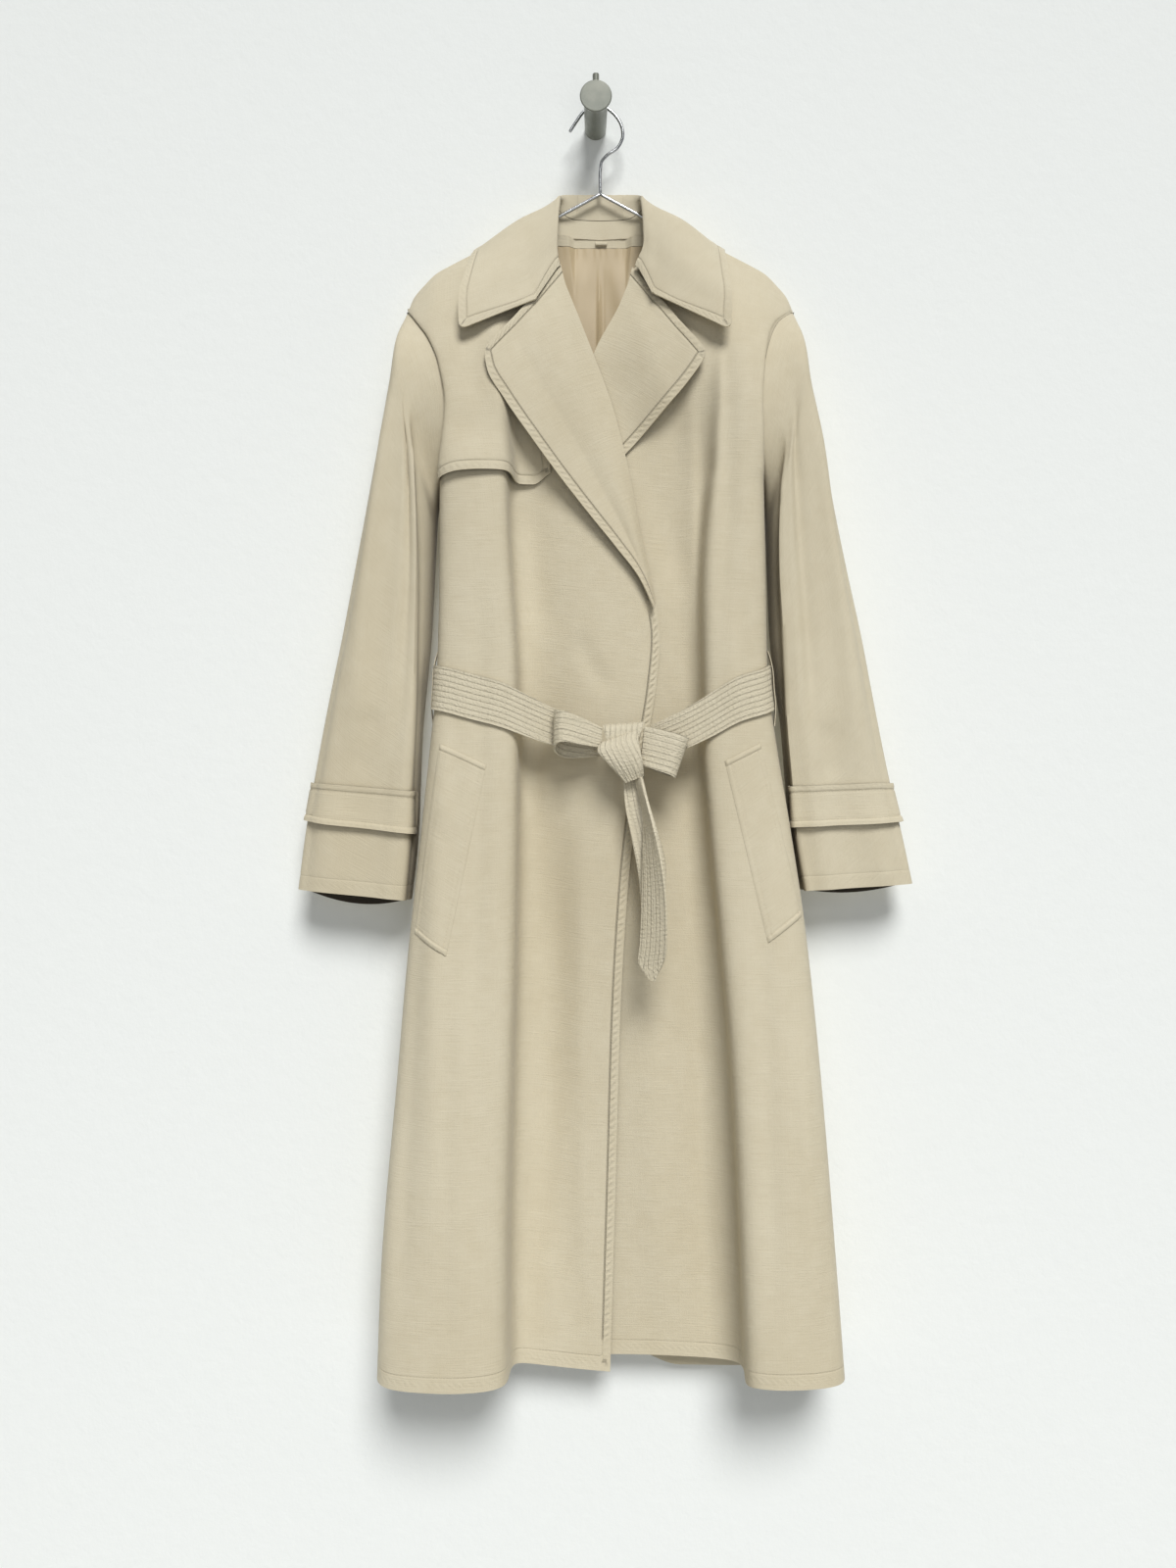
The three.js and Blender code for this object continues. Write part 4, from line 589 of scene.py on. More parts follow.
def front_grid(under):
    def point_of(u, z):
        return panel_point(u, z, under)

    dense = [(1, EDGE_BAND, EDGE_STEP)]
    u = even_places(lambda u: point_of(u, level(len(u), WAIST_Z)), 0, 1, COLUMN_STEP, dense)
    if under:
        u = u[::-1]
    hem = read(UNDER_HEM if under else OVER_HEM, "u", u)["z"]
    z = panel_rows(hem, top_z(point_of, u), ROW_STEP)
    return point_of(np.broadcast_to(u, z.shape), z)


# ---- back

BACK_END = 18
NECK_EASE = 16
BACK_CREASES = (
    (-150, -420, -170, -1270, 6, 14, 1.6),
    (-70, -330, -84, -1280, -6, 18, -1.8),
    (8, -260, 12, -1280, 4, 14, 1.5),
    (90, -380, 104, -1280, 5, 16, -1.8),
    (168, -640, 196, -1270, -4, 12, 1.6),
    (-120, -260, -60, -420, 8, 16, 1.4),
    (120, -260, 66, -430, -8, 16, 1.4),
)


def back_seam(z, sign):
    above = read(BACK_SEAM, "z", z)
    below = read(FRONTS[sign], "z", z)
    high = z > PIT_Z
    return np.where(high, above["x"], below["seam"]), np.where(high, above["y"], below["seamY"] + 0.6)


def back_folds(x, z):
    grown = smooth((-180 - z) / 300) * mix(0.55, 1, smooth((-640 - z) / 600))
    return -sum(grown * deep * np.exp(-(((x - at) / wide) ** 2)) for at, deep, wide in BACK_FOLDS)


def back_controls(z):
    ends = []
    for sign in (-1, 1):
        x, y = back_seam(z, sign)
        xs = np.stack([sign * (x - inwards) for inwards in (0, 1, 9, 28)], -1)
        ys = np.stack([mix(y, BACK_Y, share) for share in (0, 0.55, 0.95, 1)], -1)
        ends.append(np.stack([xs, ys], -1))
    start, end = ends[0][..., -1, 0], ends[1][..., -1, 0]
    xs = np.stack([mix(start, end, i / 12) for i in range(1, 12)], -1)
    middle = np.stack([xs, BACK_Y + back_folds(xs, np.asarray(z, float)[..., None])], -1)
    return np.concatenate([ends[0], middle, ends[1][..., ::-1, :]], -2)


def behind_neck(x):
    return smooth((NECK_HALF - np.abs(x)) / NECK_EASE)


def back_point(t, z, out=0.0):
    """A point of the back's outer face, which faces the wall."""
    t, z = pair(t, z)
    xy = spline(back_controls(z), t)
    x = xy[..., 0]
    full = np.maximum(fullness(x, z, BACK_DROP), behind_neck(x))
    relief = folds(BACK_CREASES, x, z) * smooth(np.minimum(t, BACK_END - t) / 2.5) * smooth((-250 - z) / 90)
    # The wall is close behind, so that folds only go in.
    inwards = -np.abs(relief) - out
    return vec(x + COAT_X, mix(SEAM_Y + SEAM_GAP / 2, xy[..., 1], full) + inwards, z)


def back_y(x, z):
    return back_point(place_at(back_controls(z), x, 0, BACK_END), z)[..., 1]


def back_top_z(x):
    inside = read(NECKLINE, "x", np.abs(x))["z"]
    return np.where(np.abs(x) < NECK_HALF, inside, shoulder_z(x))


def back_hem_z(x):
    return HEM_Z + 2 - 19 * smooth((x - 30) / 60) * (1 - smooth((x - 170) / 60))


def back_grid():
    t = even_places(lambda t: back_point(t, level(len(t), WAIST_Z)), 0, BACK_END, BACK_STEP)
    hem = back_hem_z(back_point(t, level(len(t), HEM_Z))[..., 0])
    rows = panel_rows(hem, top_z(back_point, t, back_top_z), BACK_STEP)
    return back_point(np.broadcast_to(t, rows.shape), rows)[:, ::-1]


# ---- sleeves

SLEEVE_CONTROLS = 13
SLEEVE_PIT = 8
# Soft folds on a sleeve: place round it and place along it at both ends, bow, width and height. A place round
# it counts 13 to a turn, and one along it 10 to the cuff: ROUND and LONG are what one of each measures.
ROUND, LONG = 20, 64
SLEEVE_CREASES = {
    -1: (
        (1.6, 0.9, 3.0, 8.5, 6, 9, 4.6),
        (3.6, 0.4, 4.2, 8.2, -8, 8, -5),
        (4.9, -1.5, 5.0, 13, 3, 6, 2.6),
        (6.0, -1, 5.9, 13, 3, 8, -3.4),
        (1.0, 2.0, 1.6, 11.8, 4, 9, -4.2),
        (3.2, 6.8, 3.0, 8.2, 4, 8, -2),
        (4.4, 4.6, 4.2, 11.9, -3, 8, 3.4),
        (5.6, 6.2, 5.6, 9.9, 2, 7, -2),
        (2.4, 8.2, 2.4, 10.2, 2, 8, 1.8),
        (10.6, 2.0, 10.2, 9.2, 6, 12, 2.2),
        (11.8, 3.0, 12, 9.5, -5, 11, -2.2),
    ),
    1: (
        (1.5, 0.8, 2.8, 9.0, 6, 9, 4.4),
        (3.4, 0.4, 4.4, 8.4, 7, 8, -4.8),
        (4.8, -1.5, 5.1, 13, -3, 6, 2.6),
        (6.0, -1, 6.0, 13, -3, 8, -3.4),
        (0.9, 2.4, 1.4, 11.7, -4, 9, -4.1),
        (3.4, 7.0, 3.6, 8.2, 4, 8, -2),
        (4.4, 4.4, 4.2, 11.9, 3, 8, 3.4),
        (5.7, 6.0, 5.5, 9.9, -2, 7, -2),
        (2.6, 8.2, 2.4, 10.2, 2, 8, 1.8),
        (10.4, 2.4, 10.0, 9.0, -6, 12, 2.2),
        (11.9, 2.6, 11.8, 9.5, 5, 11, -2.2),
    ),
}


def sleeve_controls(row):
    crease, fold = row["crease"], row["fold"]
    shares = (
        0, 0, 0.16, 0.42 * crease + 0.08, 0.74 * crease, crease,
        np.minimum(crease + mix(0.12, 0.01, fold), 1), mix(crease, 1, 0.6), 1.02, 0.99, 0.6, 0.22, 0.02,
    )
    depths = (
        0.55, 0.2, 0.02, 0.07 * fold, 0, 0.03,
        mix(0.1, 0.3, fold), mix(0.25, 0.42, fold), mix(0.45, 0.58, fold), 0.88, 1, 1, 0.86,
    )
    one = np.ones(np.shape(crease))
    controls = [(share * one, mix(row["front"], row["back"], deep)) for share, deep in zip(shares, depths)]
    return np.stack([np.stack(control, -1) for control in controls], -2)


def ring_point(sign, c, k):
    """Points of a sleeve's rings, for whole numbers k."""
    rows = SLEEVES[sign]
    rung = read(rows, "k", k)
    share_y = spline(sleeve_controls(rung), c, closed=True)
    share, y = share_y[..., 0], share_y[..., 1]
    x = mix(rung["outX"], rung["inX"], share)
    dip = rung["dip"] * smooth((y - rung["front"]) / (rung["back"] - rung["front"])) * 4 * share * (1 - share)
    free = vec(sign * x + COAT_X, y, mix(rung["outZ"], rung["inZ"], share) - dip)
    z = mix(rows["outZ"][0], rows["inZ"][0], np.clip(share, 0, 1))
    ahead, behind = read(FRONTS[sign], "z", z), read(BACK_SEAM, "z", z)
    in_front = np.mod(c, SLEEVE_CONTROLS) < SLEEVE_PIT
    seam_x = np.where(in_front, ahead["seam"], behind["x"])
    seam_y = np.where(in_front, ahead["seamY"], behind["y"])
    full = np.where(in_front, fullness(seam_x, z, CHEST_DROP), fullness(seam_x, z, BACK_DROP))
    sewn = vec(sign * (seam_x + ARMHOLE_GAP) + COAT_X, mix(SEAM_Y, seam_y, full), z)
    return np.where((k == 0)[..., None], sewn, free)


def sleeve_base(sign, c, k):
    i = np.clip(np.floor(k).astype(int), 0, SLEEVE_RINGS - 1)
    t = (k - i)[..., None]
    a, b, d, e = (ring_point(sign, c, np.clip(i + step, 0, SLEEVE_RINGS)) for step in (-1, 0, 1, 2))
    first, last = (i == 0)[..., None], (i == SLEEVE_RINGS - 1)[..., None]
    enter = np.where(first, d - b, (d - a) / 2)
    leave = np.where(last, d - b, (e - b) / 2)
    return hermite(b, d, enter, leave, t)


def sleeve_point(sign, c, k, out=0.0):
    """A point of a sleeve's outer face: c goes round it, k along it."""
    c, k = pair(c, k)
    side = sleeve_base(sign, c + 0.1, k) - sleeve_base(sign, c - 0.1, k)
    below, above = np.minimum(k + 0.1, SLEEVE_RINGS), np.maximum(k - 0.1, 0)
    down = sleeve_base(sign, c, below) - sleeve_base(sign, c, above)
    normal = unit(np.cross(side, down)) * sign
    rows = [(ROUND * a, -LONG * b, ROUND * d, -LONG * e, *rest) for a, b, d, e, *rest in SLEEVE_CREASES[sign]]
    relief = folds(rows, ROUND * np.mod(c, SLEEVE_CONTROLS), -LONG * k) * smooth((k - 0.4) / 1.6)
    return sleeve_base(sign, c, k) + normal * (relief + out)[..., None]


def sleeve_grid(sign):
    around = even_places(lambda c: sleeve_base(sign, c, level(len(c), 6)), 0, SLEEVE_CONTROLS, 3.4)[:-1]
    rows = np.concatenate([np.linspace(0, 9.6, 150)[:-1], np.linspace(9.6, SLEEVE_RINGS, 12)])
    return sleeve_point(sign, around[None, :], rows[:, None])


STRAPS = {
    -1: {"topOut": 8.23, "topIn": 8.21, "bottomOut": 8.83, "bottomIn": 8.92},
    1: {"topOut": 8.25, "topIn": 8.11, "bottomOut": 8.86, "bottomIn": 8.84},
}
STRAP_ROUND = (0.15, 6.1)  # its ends, as places round the sleeve
STRAP_LIFT = 4.5


def cuff_strap_grid(sign):
    strap = STRAPS[sign]
    down = np.linspace(0, 1, 25)[:, None]
    j = np.linspace(0, 1, 72)[None, :]
    top, bottom = (mix(strap[edge + "Out"], strap[edge + "In"], j) for edge in ("top", "bottom"))
    waves = np.sin(math.pi * j) * (1 + 0.25 * np.sin(9 * j))
    out = LAY_GAP + CLOTH + STRAP_LIFT * down**2 * waves
    return sleeve_point(sign, mix(*STRAP_ROUND, j), mix(top, bottom, down), out)


# ---- lapels and collar

# Where collar and lapel part: the gorge seam runs from the neck to this point, by side.
NOTCH = {-1: (66, -79, -208), 1: (52, -73, -199.5)}

LAPEL_OUT = 0.6 + LAPEL_CLOTH


def lapel_y(x, z, y, under):
    """Depth of a lapel's points, clear of its own front. The under lapel goes below the over front."""
    free = np.minimum(y, surface_y(x, z, under) - LAPEL_OUT)
    if not under:
        return free
    kept = surface_y(x, z, False) + CLOTH + 2.4
    return mix(kept, free, smooth((x - edge_x(z, False) - 4) / 60))


def lapel_grid(under):
    rows = UNDER_LAPEL if under else OVER_LAPEL
    u = np.linspace(0, 1, 150)[::-1, None]
    w = even_shares(110, 2.8, [(1, 16, 1.4)])[None, :]
    if not under:
        w = w[:, ::-1]
    row = read(rows, "i", u * (len(rows["i"]) - 1))
    roll_x = edge_x(row["roll"], under)
    x = mix(roll_x, row["x"], w)
    z = mix(row["roll"], row["z"], w) - row["sag"] * 4 * w * (1 - w)
    notch = NOTCH[1 if under else -1]
    start, tip, roll_top = abs(roll_x[-1, 0]), abs(row["x"][-1, 0]), row["roll"][-1, 0]
    notch_w = (notch[0] - start) / (tip - start)
    gorge = np.interp(w[0], [0, notch_w, 1], [roll_top + 6, notch[2] + 8, row["z"][-1, 0]])
    z = z + (gorge - z[-1])[None, :] * smooth((0.12 - u) / 0.12)
    roll_y = surface_y(roll_x, row["roll"], under) - LAPEL_OUT
    puff = 5 * np.sin(math.pi * np.minimum(1, w * 1.6)) * smooth((1 - u) * 4)
    y = mix(roll_y, row["y"], smooth(w) * 0.5 + w * 0.5) - puff
    return vec(x + COAT_X, lapel_y(x, z, y, under), z)


def collar_sections(places):
    sign = np.where(places < 0, -1, 1)
    c = read(COLLAR, "a", np.abs(places))
    at_end = smooth((np.abs(places) - 5.6) / 1.4)
    for axis, name in enumerate(("mx", "my", "mz")):
        c[name] = mix(c[name], np.where(places < 0, NOTCH[-1][axis], NOTCH[1][axis]), at_end)
    for name in ("nx", "rx"):
        c[name] = c[name] - 6 * at_end * (places > 0)
    c["ex"] = c["ex"] - 12 * smooth((places - 2.5) / 4) * (places > 0)
    neck, roll, middle, edge = (vec(sign * c[p + "x"] + COAT_X, c[p + "y"], c[p + "z"]) for p in "nrme")
    seam = mix(neck, roll, STAND_SHARE)
    away = (middle - roll) * (1, 1, 0)
    near = np.linalg.norm(away, axis=-1, keepdims=True) <= 12
    out = np.where(near, unit(mix(np.array([0.0, 1, 0]), unit(away), 0.3)), unit(away))
    rise = np.minimum(1, np.linalg.norm(neck - roll, axis=-1, keepdims=True) / 20)
    inner = roll - 1.5 * rise * out + rise * (0, 0, -4)
    outer = roll + 4 * out + (0, 0, -3.5)
    return neck, seam, inner, roll, outer, middle, edge


def straight_along(points, shares):
    """Points at shares of the length of straight lines through points, which is (rows, n, 3)."""
    runs = [length_along(line) for line in points]
    return np.array([at_length(shares * run[-1], run, line) for run, line in zip(runs, points)])


def collar_fall_grid():
    places = np.linspace(-7, 7, 260)
    _, seam, inner, roll, outer, middle, edge = collar_sections(places)
    knots = np.stack([mix(seam, roll, 0.015), inner, roll, outer, middle, edge], -2)
    shares = np.concatenate([np.linspace(0, 0.9, 46)[:-1], np.linspace(0.9, 1, 10)])
    at_notch = smooth((np.abs(places) - 6.3) / 0.6)[:, None, None]
    return mix(along(knots, shares), straight_along(knots, shares), at_notch)


def collar_stand_grid():
    places = np.linspace(-5.2, 5.2, 120)
    neck, seam, *_ = collar_sections(places)
    behind = 1 - smooth((np.abs(places) - 2.3) / 0.5)
    neck[:, 2] = mix(neck[:, 2], np.minimum(neck[:, 2], NECK_SEAM_Z + 1), behind)
    return np.stack([mix(neck, seam, share) for share in np.linspace(0, 0.985, 9)], 1)


# ---- what shows inside the neck

INSIDE_GAP = 1.1
INSIDE_Y = -15
INSIDE_HALF = 46
NECK_SEAM_Z = -124  # where the collar's stand begins at the back
FACING_TOP, FACING_END = NECK_SEAM_Z + 1.6, NECK_SEAM_Z - 8.5
LINING_END = -420


def inside_grid(top, bottom, rows, columns, thickness, relief=None):
    z = mix(bottom, top, np.linspace(0, 1, rows)[:, None])
    x, z = pair(np.linspace(-INSIDE_HALF, INSIDE_HALF, columns)[None, :], z)
    behind = np.min([back_y(x + aside, z) for aside in (-12, -6, 0, 6, 12)], 0)
    y = np.minimum(behind - CLOTH - INSIDE_GAP - thickness, INSIDE_Y)
    if relief is not None:
        y = y - relief(x, z)
    return vec(x + COAT_X, y, z)


LINING_CREASES = (
    (-1, -134, -3, -416, 0, 1.6, 2.2),
    (3.5, -134, 3, -416, 0, 1.3, -0.6),
    (14, -138, 34, -240, 3, 9, 1.8),
    (-20, -138, -34, -260, -3, 10, 1.6),
    (30, -150, 22, -360, 2, 8, 1.2),
    (-8, -170, -20, -360, 3, 9, 1.0),
)


def lining_relief(x, z):
    gathers = 0.35 * (1 + np.sin(x * 0.8 + 1.5 * np.sin(x * 0.23))) * np.exp(-(((-133 - z) / 9) ** 2))
    return np.maximum(folds(LINING_CREASES, x, z), -0.6) + gathers


LOOP = table("z y", (-131.2, -16.4), (-130, -18.6), (-127, -18.2), (-126, -16.4))
LOOP_HALF = 6


def hanging_loop_grid():
    line = along(vec(0, LOOP["y"], LOOP["z"]), np.linspace(0, 1, 17))
    across = np.linspace(-LOOP_HALF, LOOP_HALF, 9)
    return line[:, None, :] + vec(across + COAT_X + 1, 0, 0)[None, :, :]


# ---- what lies on the fronts


def storm_flap_grids():
    u = even_shares(165, 3.2, [(1, 14, 1.5)])[None, :]
    share = even_shares(250, 3.6, [(0, 16, 1.5)])[:, None]
    hem = read(FLAP_HEM, "u", u)["z"]
    z = np.full((share.shape[0], u.shape[1]), -200.0)
    for _ in range(14):
        inner_x = mix(-51, -88, smooth((z + 380) / 170))
        t = mix(read(FLAP_SEAM, "z", z)["t"], middle_t(inner_x, z, False), u)
        x = front_point(t, z)[..., 0] - COAT_X
        top = shoulder_z(x) - 4 - 26 * smooth((142 - np.abs(x)) / 16)
        z = mix(hem, top, share)
    lift = 1 + 0.5 * np.sin(7 * u + 1)
    free = 6.5 * lift * (1 - smooth(share / 0.25)) * np.sin(math.pi * np.clip(u, 0.05, 0.95))
    sewn = np.minimum(smooth(u / 0.05), smooth((1 - share) / 0.04))
    out = 0.25 + (LAY_GAP + CLOTH - 0.25) * sewn + free
    return front_point(t, z, out=out), front_point(t, z, out=out - 0.15 - (CLOTH - 0.25) * sewn)


WELT = {"long": 195, "wide": 40}
WELT_RIDGE = {"high": 1.1, "from_end": 3.4, "wide": 2.8}


def welt_grids(corners, under):
    """Outer and inner face of a welt: it lies flush, with a rolled ridge across each end."""
    down = 1 - even_shares(WELT["long"], 3, [(0, 12, 1), (1, 12, 1)])[:, None]
    j = even_shares(WELT["wide"], 1.6, [(0, 3, 0.5), (1, 3, 0.5)])[None, :]
    top, bottom = corners["top"], corners["bottom"]
    x, z = (mix(mix(top[a], top[a + 2], j), mix(bottom[a], bottom[a + 2], j), down) for a in (0, 1))
    t = fold_t(x, z, under)
    from_end = WELT["long"] * np.minimum(down, 1 - down)
    ridge = np.exp(-(((from_end - WELT_RIDGE["from_end"]) / WELT_RIDGE["wide"]) ** 2))
    side = np.minimum(j, 1 - j) * WELT["wide"]
    out = 0.25 + 0.5 * smooth(side / 2.5) + WELT_RIDGE["high"] * ridge * smooth((side + 1) / 3)
    return front_point(t, z, under, out), front_point(t, z, under, 0.02 + 0 * out)


# ---- belt

BELT_ROWS = 8  # rows of stitches along the belt
GROOVE = {"deep": 0.35, "wide": 0.9}
ACROSS = np.linspace(0, 1, 37)
BELT_TOP = -578  # its upper edge at the back


def relaxed(grid, passes):
    """The grid with its lines smoothed along its length, its ends kept."""
    for _ in range(passes):
        grid[1:-1] = (grid[:-2] + 2 * grid[1:-1] + grid[2:]) / 4
    return grid


def quilted(grid, normals):
    """A belt's points pressed in along its rows of stitches."""
    rows = (np.arange(BELT_ROWS) + 0.5) / BELT_ROWS
    across = np.linspace(0, 1, grid.shape[1])
    groove = sum(np.exp(-(((across - row) * BELT_WIDE / GROOVE["wide"]) ** 2)) for row in rows)
    return grid - normals * (GROOVE["deep"] * groove)[None, :, None]


def belt_front_grid(rows, knot, under):
    t = np.linspace(0.25, rows["t"][-1], 56)[:, None]
    z = read(rows, "t", t)["z"] - ACROSS[None, :] * BELT_WIDE
    on_cloth = front_point(FRONT_END - t if under else t, z, under, BELT_OUT)
    end = vec(knot["x"] + COAT_X, knot["y"], mix(knot["top"], knot["bottom"], ACROSS))
    share = np.linspace(0, 1, 24)[1:, None]
    bulge = np.sin(math.pi * share)
    free = mix(on_cloth[-1][None], end[None], share[..., None]) + vec(0, -1.2 * bulge, -2.5 * bulge)
    return relaxed(np.concatenate([on_cloth, free]), 6)


def belt_back_grid():
    low, high = 0.15, 2.4
    places = ((low, high, 30), (high, BACK_END - high, 60), (BACK_END - high, BACK_END - low, 30))
    t = np.unique(np.concatenate([np.linspace(*place) for place in places]))[:, None]
    z = BELT_TOP - ACROSS[None, :] * BELT_WIDE
    side = back_point(t + 0.05, z) - back_point(t - 0.05, z)
    on_cloth = back_point(t, z) + unit(vec(-side[..., 1], side[..., 0], 0)) * BELT_OUT
    edge = smooth((2.6 - np.minimum(t, BACK_END - t)) / 2)
    return vec(on_cloth[..., 0], mix(BACK_Y + BELT_OUT, on_cloth[..., 1], edge), z)


def ribbon_edges(rows, steps):
    return (along(vec(*(rows[p + axis] for axis in "xyz")), np.linspace(0, 1, steps)) for p in "ab")


def ribbon_grid(rows, steps):
    first, second = ribbon_edges(rows, steps)
    return mix(first[:, None, :], second[:, None, :], ACROSS[None, :, None])


def belt_loop_grid(sign):
    rows = np.array(
        [(-564, 1.2), (-571, 3.4), (-582, 5.6), (-602, 6.2), (-622, 5.4), (-633, 3.2), (-641, 1.2)], float
    )
    side = read(FRONTS[sign], "z", rows[:, 0])["side"]
    line = along(vec(sign * (side + rows[:, 1]) + COAT_X, 0, rows[:, 0]), np.linspace(0, 1, 40))
    return line[:, None, :] + vec(0, np.linspace(-66, -58, 9), 0)[None, :, :]


# ---- meshes


def steps_of(grid):
    """From each row's earlier neighbour to its later one."""
    return np.concatenate([grid[1:2] - grid[:1], grid[2:] - grid[:-2], grid[-1:] - grid[-2:-1]])


def normals_of(grid, closed=False):
    """Normals on the side from which a grid's rows run up and its columns run right."""
    if closed:
        right = np.roll(grid, -1, 1) - np.roll(grid, 1, 1)
    else:
        right = steps_of(grid.swapaxes(0, 1)).swapaxes(0, 1)
    return unit(np.cross(right, steps_of(grid)))


def quads_of(rows, columns, closed):
    i, j = np.meshgrid(np.arange(rows - 1), np.arange(columns if closed else columns - 1), indexing="ij")
    a, b = i * columns + j, i * columns + (j + 1) % columns
    return np.stack([a, b, b + columns, a + columns], -1).reshape(-1, 4)


def lengths(grid, axis):
    """Length along the cloth from the first row or column."""
    steps = np.linalg.norm(np.diff(grid, axis=axis), axis=-1)
    start = np.zeros_like(np.take(steps, [0], axis))
    return np.concatenate([start, np.cumsum(steps, axis)], axis)


def border_distances(grid):
    """Distance from each border of a grid, and the length along that border, in millimetres."""
    across, up = lengths(grid, 1), lengths(grid, 0)
    return {
        "left": (across, up),
        "right": (across[:, -1:] - across, up),
        "bottom": (up, across),
        "top": (up[-1:] - up, across),
    }


def linked(name, data):
    """A new object in the scene that holds this mesh, light or camera."""
    thing = bpy.data.objects.new(name, data)
    bpy.context.scene.collection.objects.link(thing)
    return thing


def mesh_object(name, points, faces, material, slot=None, attributes=None, sharp=50):
    """A piece of the coat, hanger or peg. The slot argument is not used."""
    mesh = bpy.data.meshes.new(name)
    mesh.from_pydata((points * MM).tolist(), [], [list(face) for face in faces])
    mesh.update()
    for key, (kind, values) in (attributes or {}).items():
        field = "vector" if kind == "FLOAT_VECTOR" else "value"
        mesh.attributes.new(key, kind, "POINT").data.foreach_set(field, values.astype(np.float32).ravel())
    mesh.polygons.foreach_set("use_smooth", np.ones(len(faces), bool))
    mesh.set_sharp_from_angle(angle=math.radians(sharp))
    mesh.materials.append(material)
    piece = linked(name, mesh)
    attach(piece, "root")
    # The frame has materials of these names, so Blender adds a number to the new ones.
    return piece


def signed_volume(points, faces):
    a, b, c, d = (points[faces[:, i]] for i in range(4))
    return np.einsum("ij,ij->", a, np.cross(b, c)) + np.einsum("ij,ij->", a, np.cross(c, d))


def between(outer, inner, closed=False):
    """Points and faces of the closed body between two grids."""
    rows, columns = outer.shape[:2]
    count = rows * columns
    face = quads_of(rows, columns, closed)
    ids = np.arange(count).reshape(rows, columns)
    rims = [ids[0], ids[-1, ::-1]]
    if closed:
        rims = [np.r_[rim, rim[0]] for rim in rims]
    else:
        rims += [ids[::-1, 0], ids[:, -1]]
    sides = [np.stack([rim[1:], rim[:-1], rim[:-1] + count, rim[1:] + count], -1) for rim in rims]
    faces = np.concatenate([face, face[:, ::-1] + count, *sides])
    points = np.concatenate([outer.reshape(-1, 3), inner.reshape(-1, 3)])
    if signed_volume(points, faces) < 0:
        faces = faces[:, ::-1]
    return points, faces


def cloth_attributes(grid, stitched, pull, painted_shade_inside=0):
    """What the cloth's material reads: its own coordinates, and how each point lies to a stitched edge."""
    borders = border_distances(grid)
    across, up = borders["left"][0], borders["bottom"][0]
    across = across - across[:, across.shape[1] // 2][:, None]
    cloth = vec(across, up, 0)
    best = np.full(grid.shape[:2], 99.0)
    hem = vec(best, up, 10)
    for border, distance in stitched.items():
        away, run = borders[border]
        nearer = away / distance < best
        best = np.where(nearer, away / distance, best)
        hem[nearer] = vec(away, run, np.full(away.shape, float(distance)))[nearer]

    def twice(values):
        return np.concatenate([values] * 2)

    return {
        "cloth": ("FLOAT_VECTOR", twice(cloth.reshape(-1, 3))),
        "hem": ("FLOAT_VECTOR", twice(hem.reshape(-1, 3))),
        "pull": ("FLOAT", twice(np.broadcast_to(pull, grid.shape[:2]).ravel())),
        # painted shade: 1 on the inner faces that are painted dark
        "painted_shade_inside": ("FLOAT", np.repeat([0.0, painted_shade_inside], grid[..., 0].size)),
    }


def seam_cut_inner(grid, normals, seam=1.0):
    """The inner face. Where two sloping panels meet on top, its last row is straight below the outer one."""
    inner = grid - normals * CLOTH
    share = np.broadcast_to(seam, len(grid[-1]))[:, None]
    inner[-1] = mix(inner[-1], grid[-1] + (0, 0, -CLOTH * 1.15), share)
    return inner


thread_paths = {"coat": [], "belt": []}


def remember_stitches(grid, normals, border, distance, trim=None, keep=None):
    """Lays a row of stitches beside a border of a grid, except for the last trim millimetres at each end."""
    away, _ = border_distances(grid)[border]
    if border in ("bottom", "top"):
        away, grid, normals = (values.swapaxes(0, 1) for values in (away, grid, normals))
    path, facing = [], []
    for far, points, normal in zip(away, grid, normals):
        order = np.argsort(far)
        path.append(at_length(distance, far[order], points[order]))
        facing.append(at_length(distance, far[order], normal[order]))
    path, facing = np.array(path), unit(np.array(facing))
    run = length_along(path)
    ends = distance if trim is None else trim
    inside = (run >= ends) & (run <= run[-1] - ends)
    if keep is not None:
        inside &= keep(path)
    if inside.sum() > 2:
        thread_paths["coat"].append((path[inside], facing[inside]))


def pressed(grid, normals, border, distance, deep=0.3, wide=1.6, where=1.0):
    """The grid pressed in along a row of stitches."""
    away, _ = border_distances(grid)[border]
    press = deep * np.exp(-(((away - distance) / wide) ** 2)) * where
    return grid - normals * press[..., None]


def sewn(grid, normals, rows, deep=0.3, wide=1.6, trim=None):
    """The grid with rows of stitches, {border: distance from it}."""
    for border, distance in rows.items():
        grid = pressed(grid, normals, border, distance, deep, wide)
        remember_stitches(grid, normals, border, distance, trim)
    return grid


def rounded(grid, corners, radius):
    """The grid with its corners drawn in to arcs. A corner is named by its two borders."""
    across = unit(np.gradient(grid, axis=1))
    up = unit(np.gradient(grid, axis=0))
    for side, end in corners:
        borders = border_distances(grid)
        p = np.clip(1 - borders[side][0] / radius, 0, 1)
        q = np.clip(1 - borders[end][0] / radius, 0, 1)
        inward = across * (1 if side == "left" else -1)
        upward = up * (1 if end == "bottom" else -1)
        shift_p = radius * p * (1 - np.sqrt(1 - q * q / 2))
        shift_q = radius * q * (1 - np.sqrt(1 - p * p / 2))
        grid = grid + inward * shift_p[..., None] + upward * shift_q[..., None]
    return grid


STITCH_PITCH = 3.4
STITCH_LONG = 2.5
STITCH_R = 0.28
STITCH_PROUD, STITCH_SINK = 0.12, 0.2


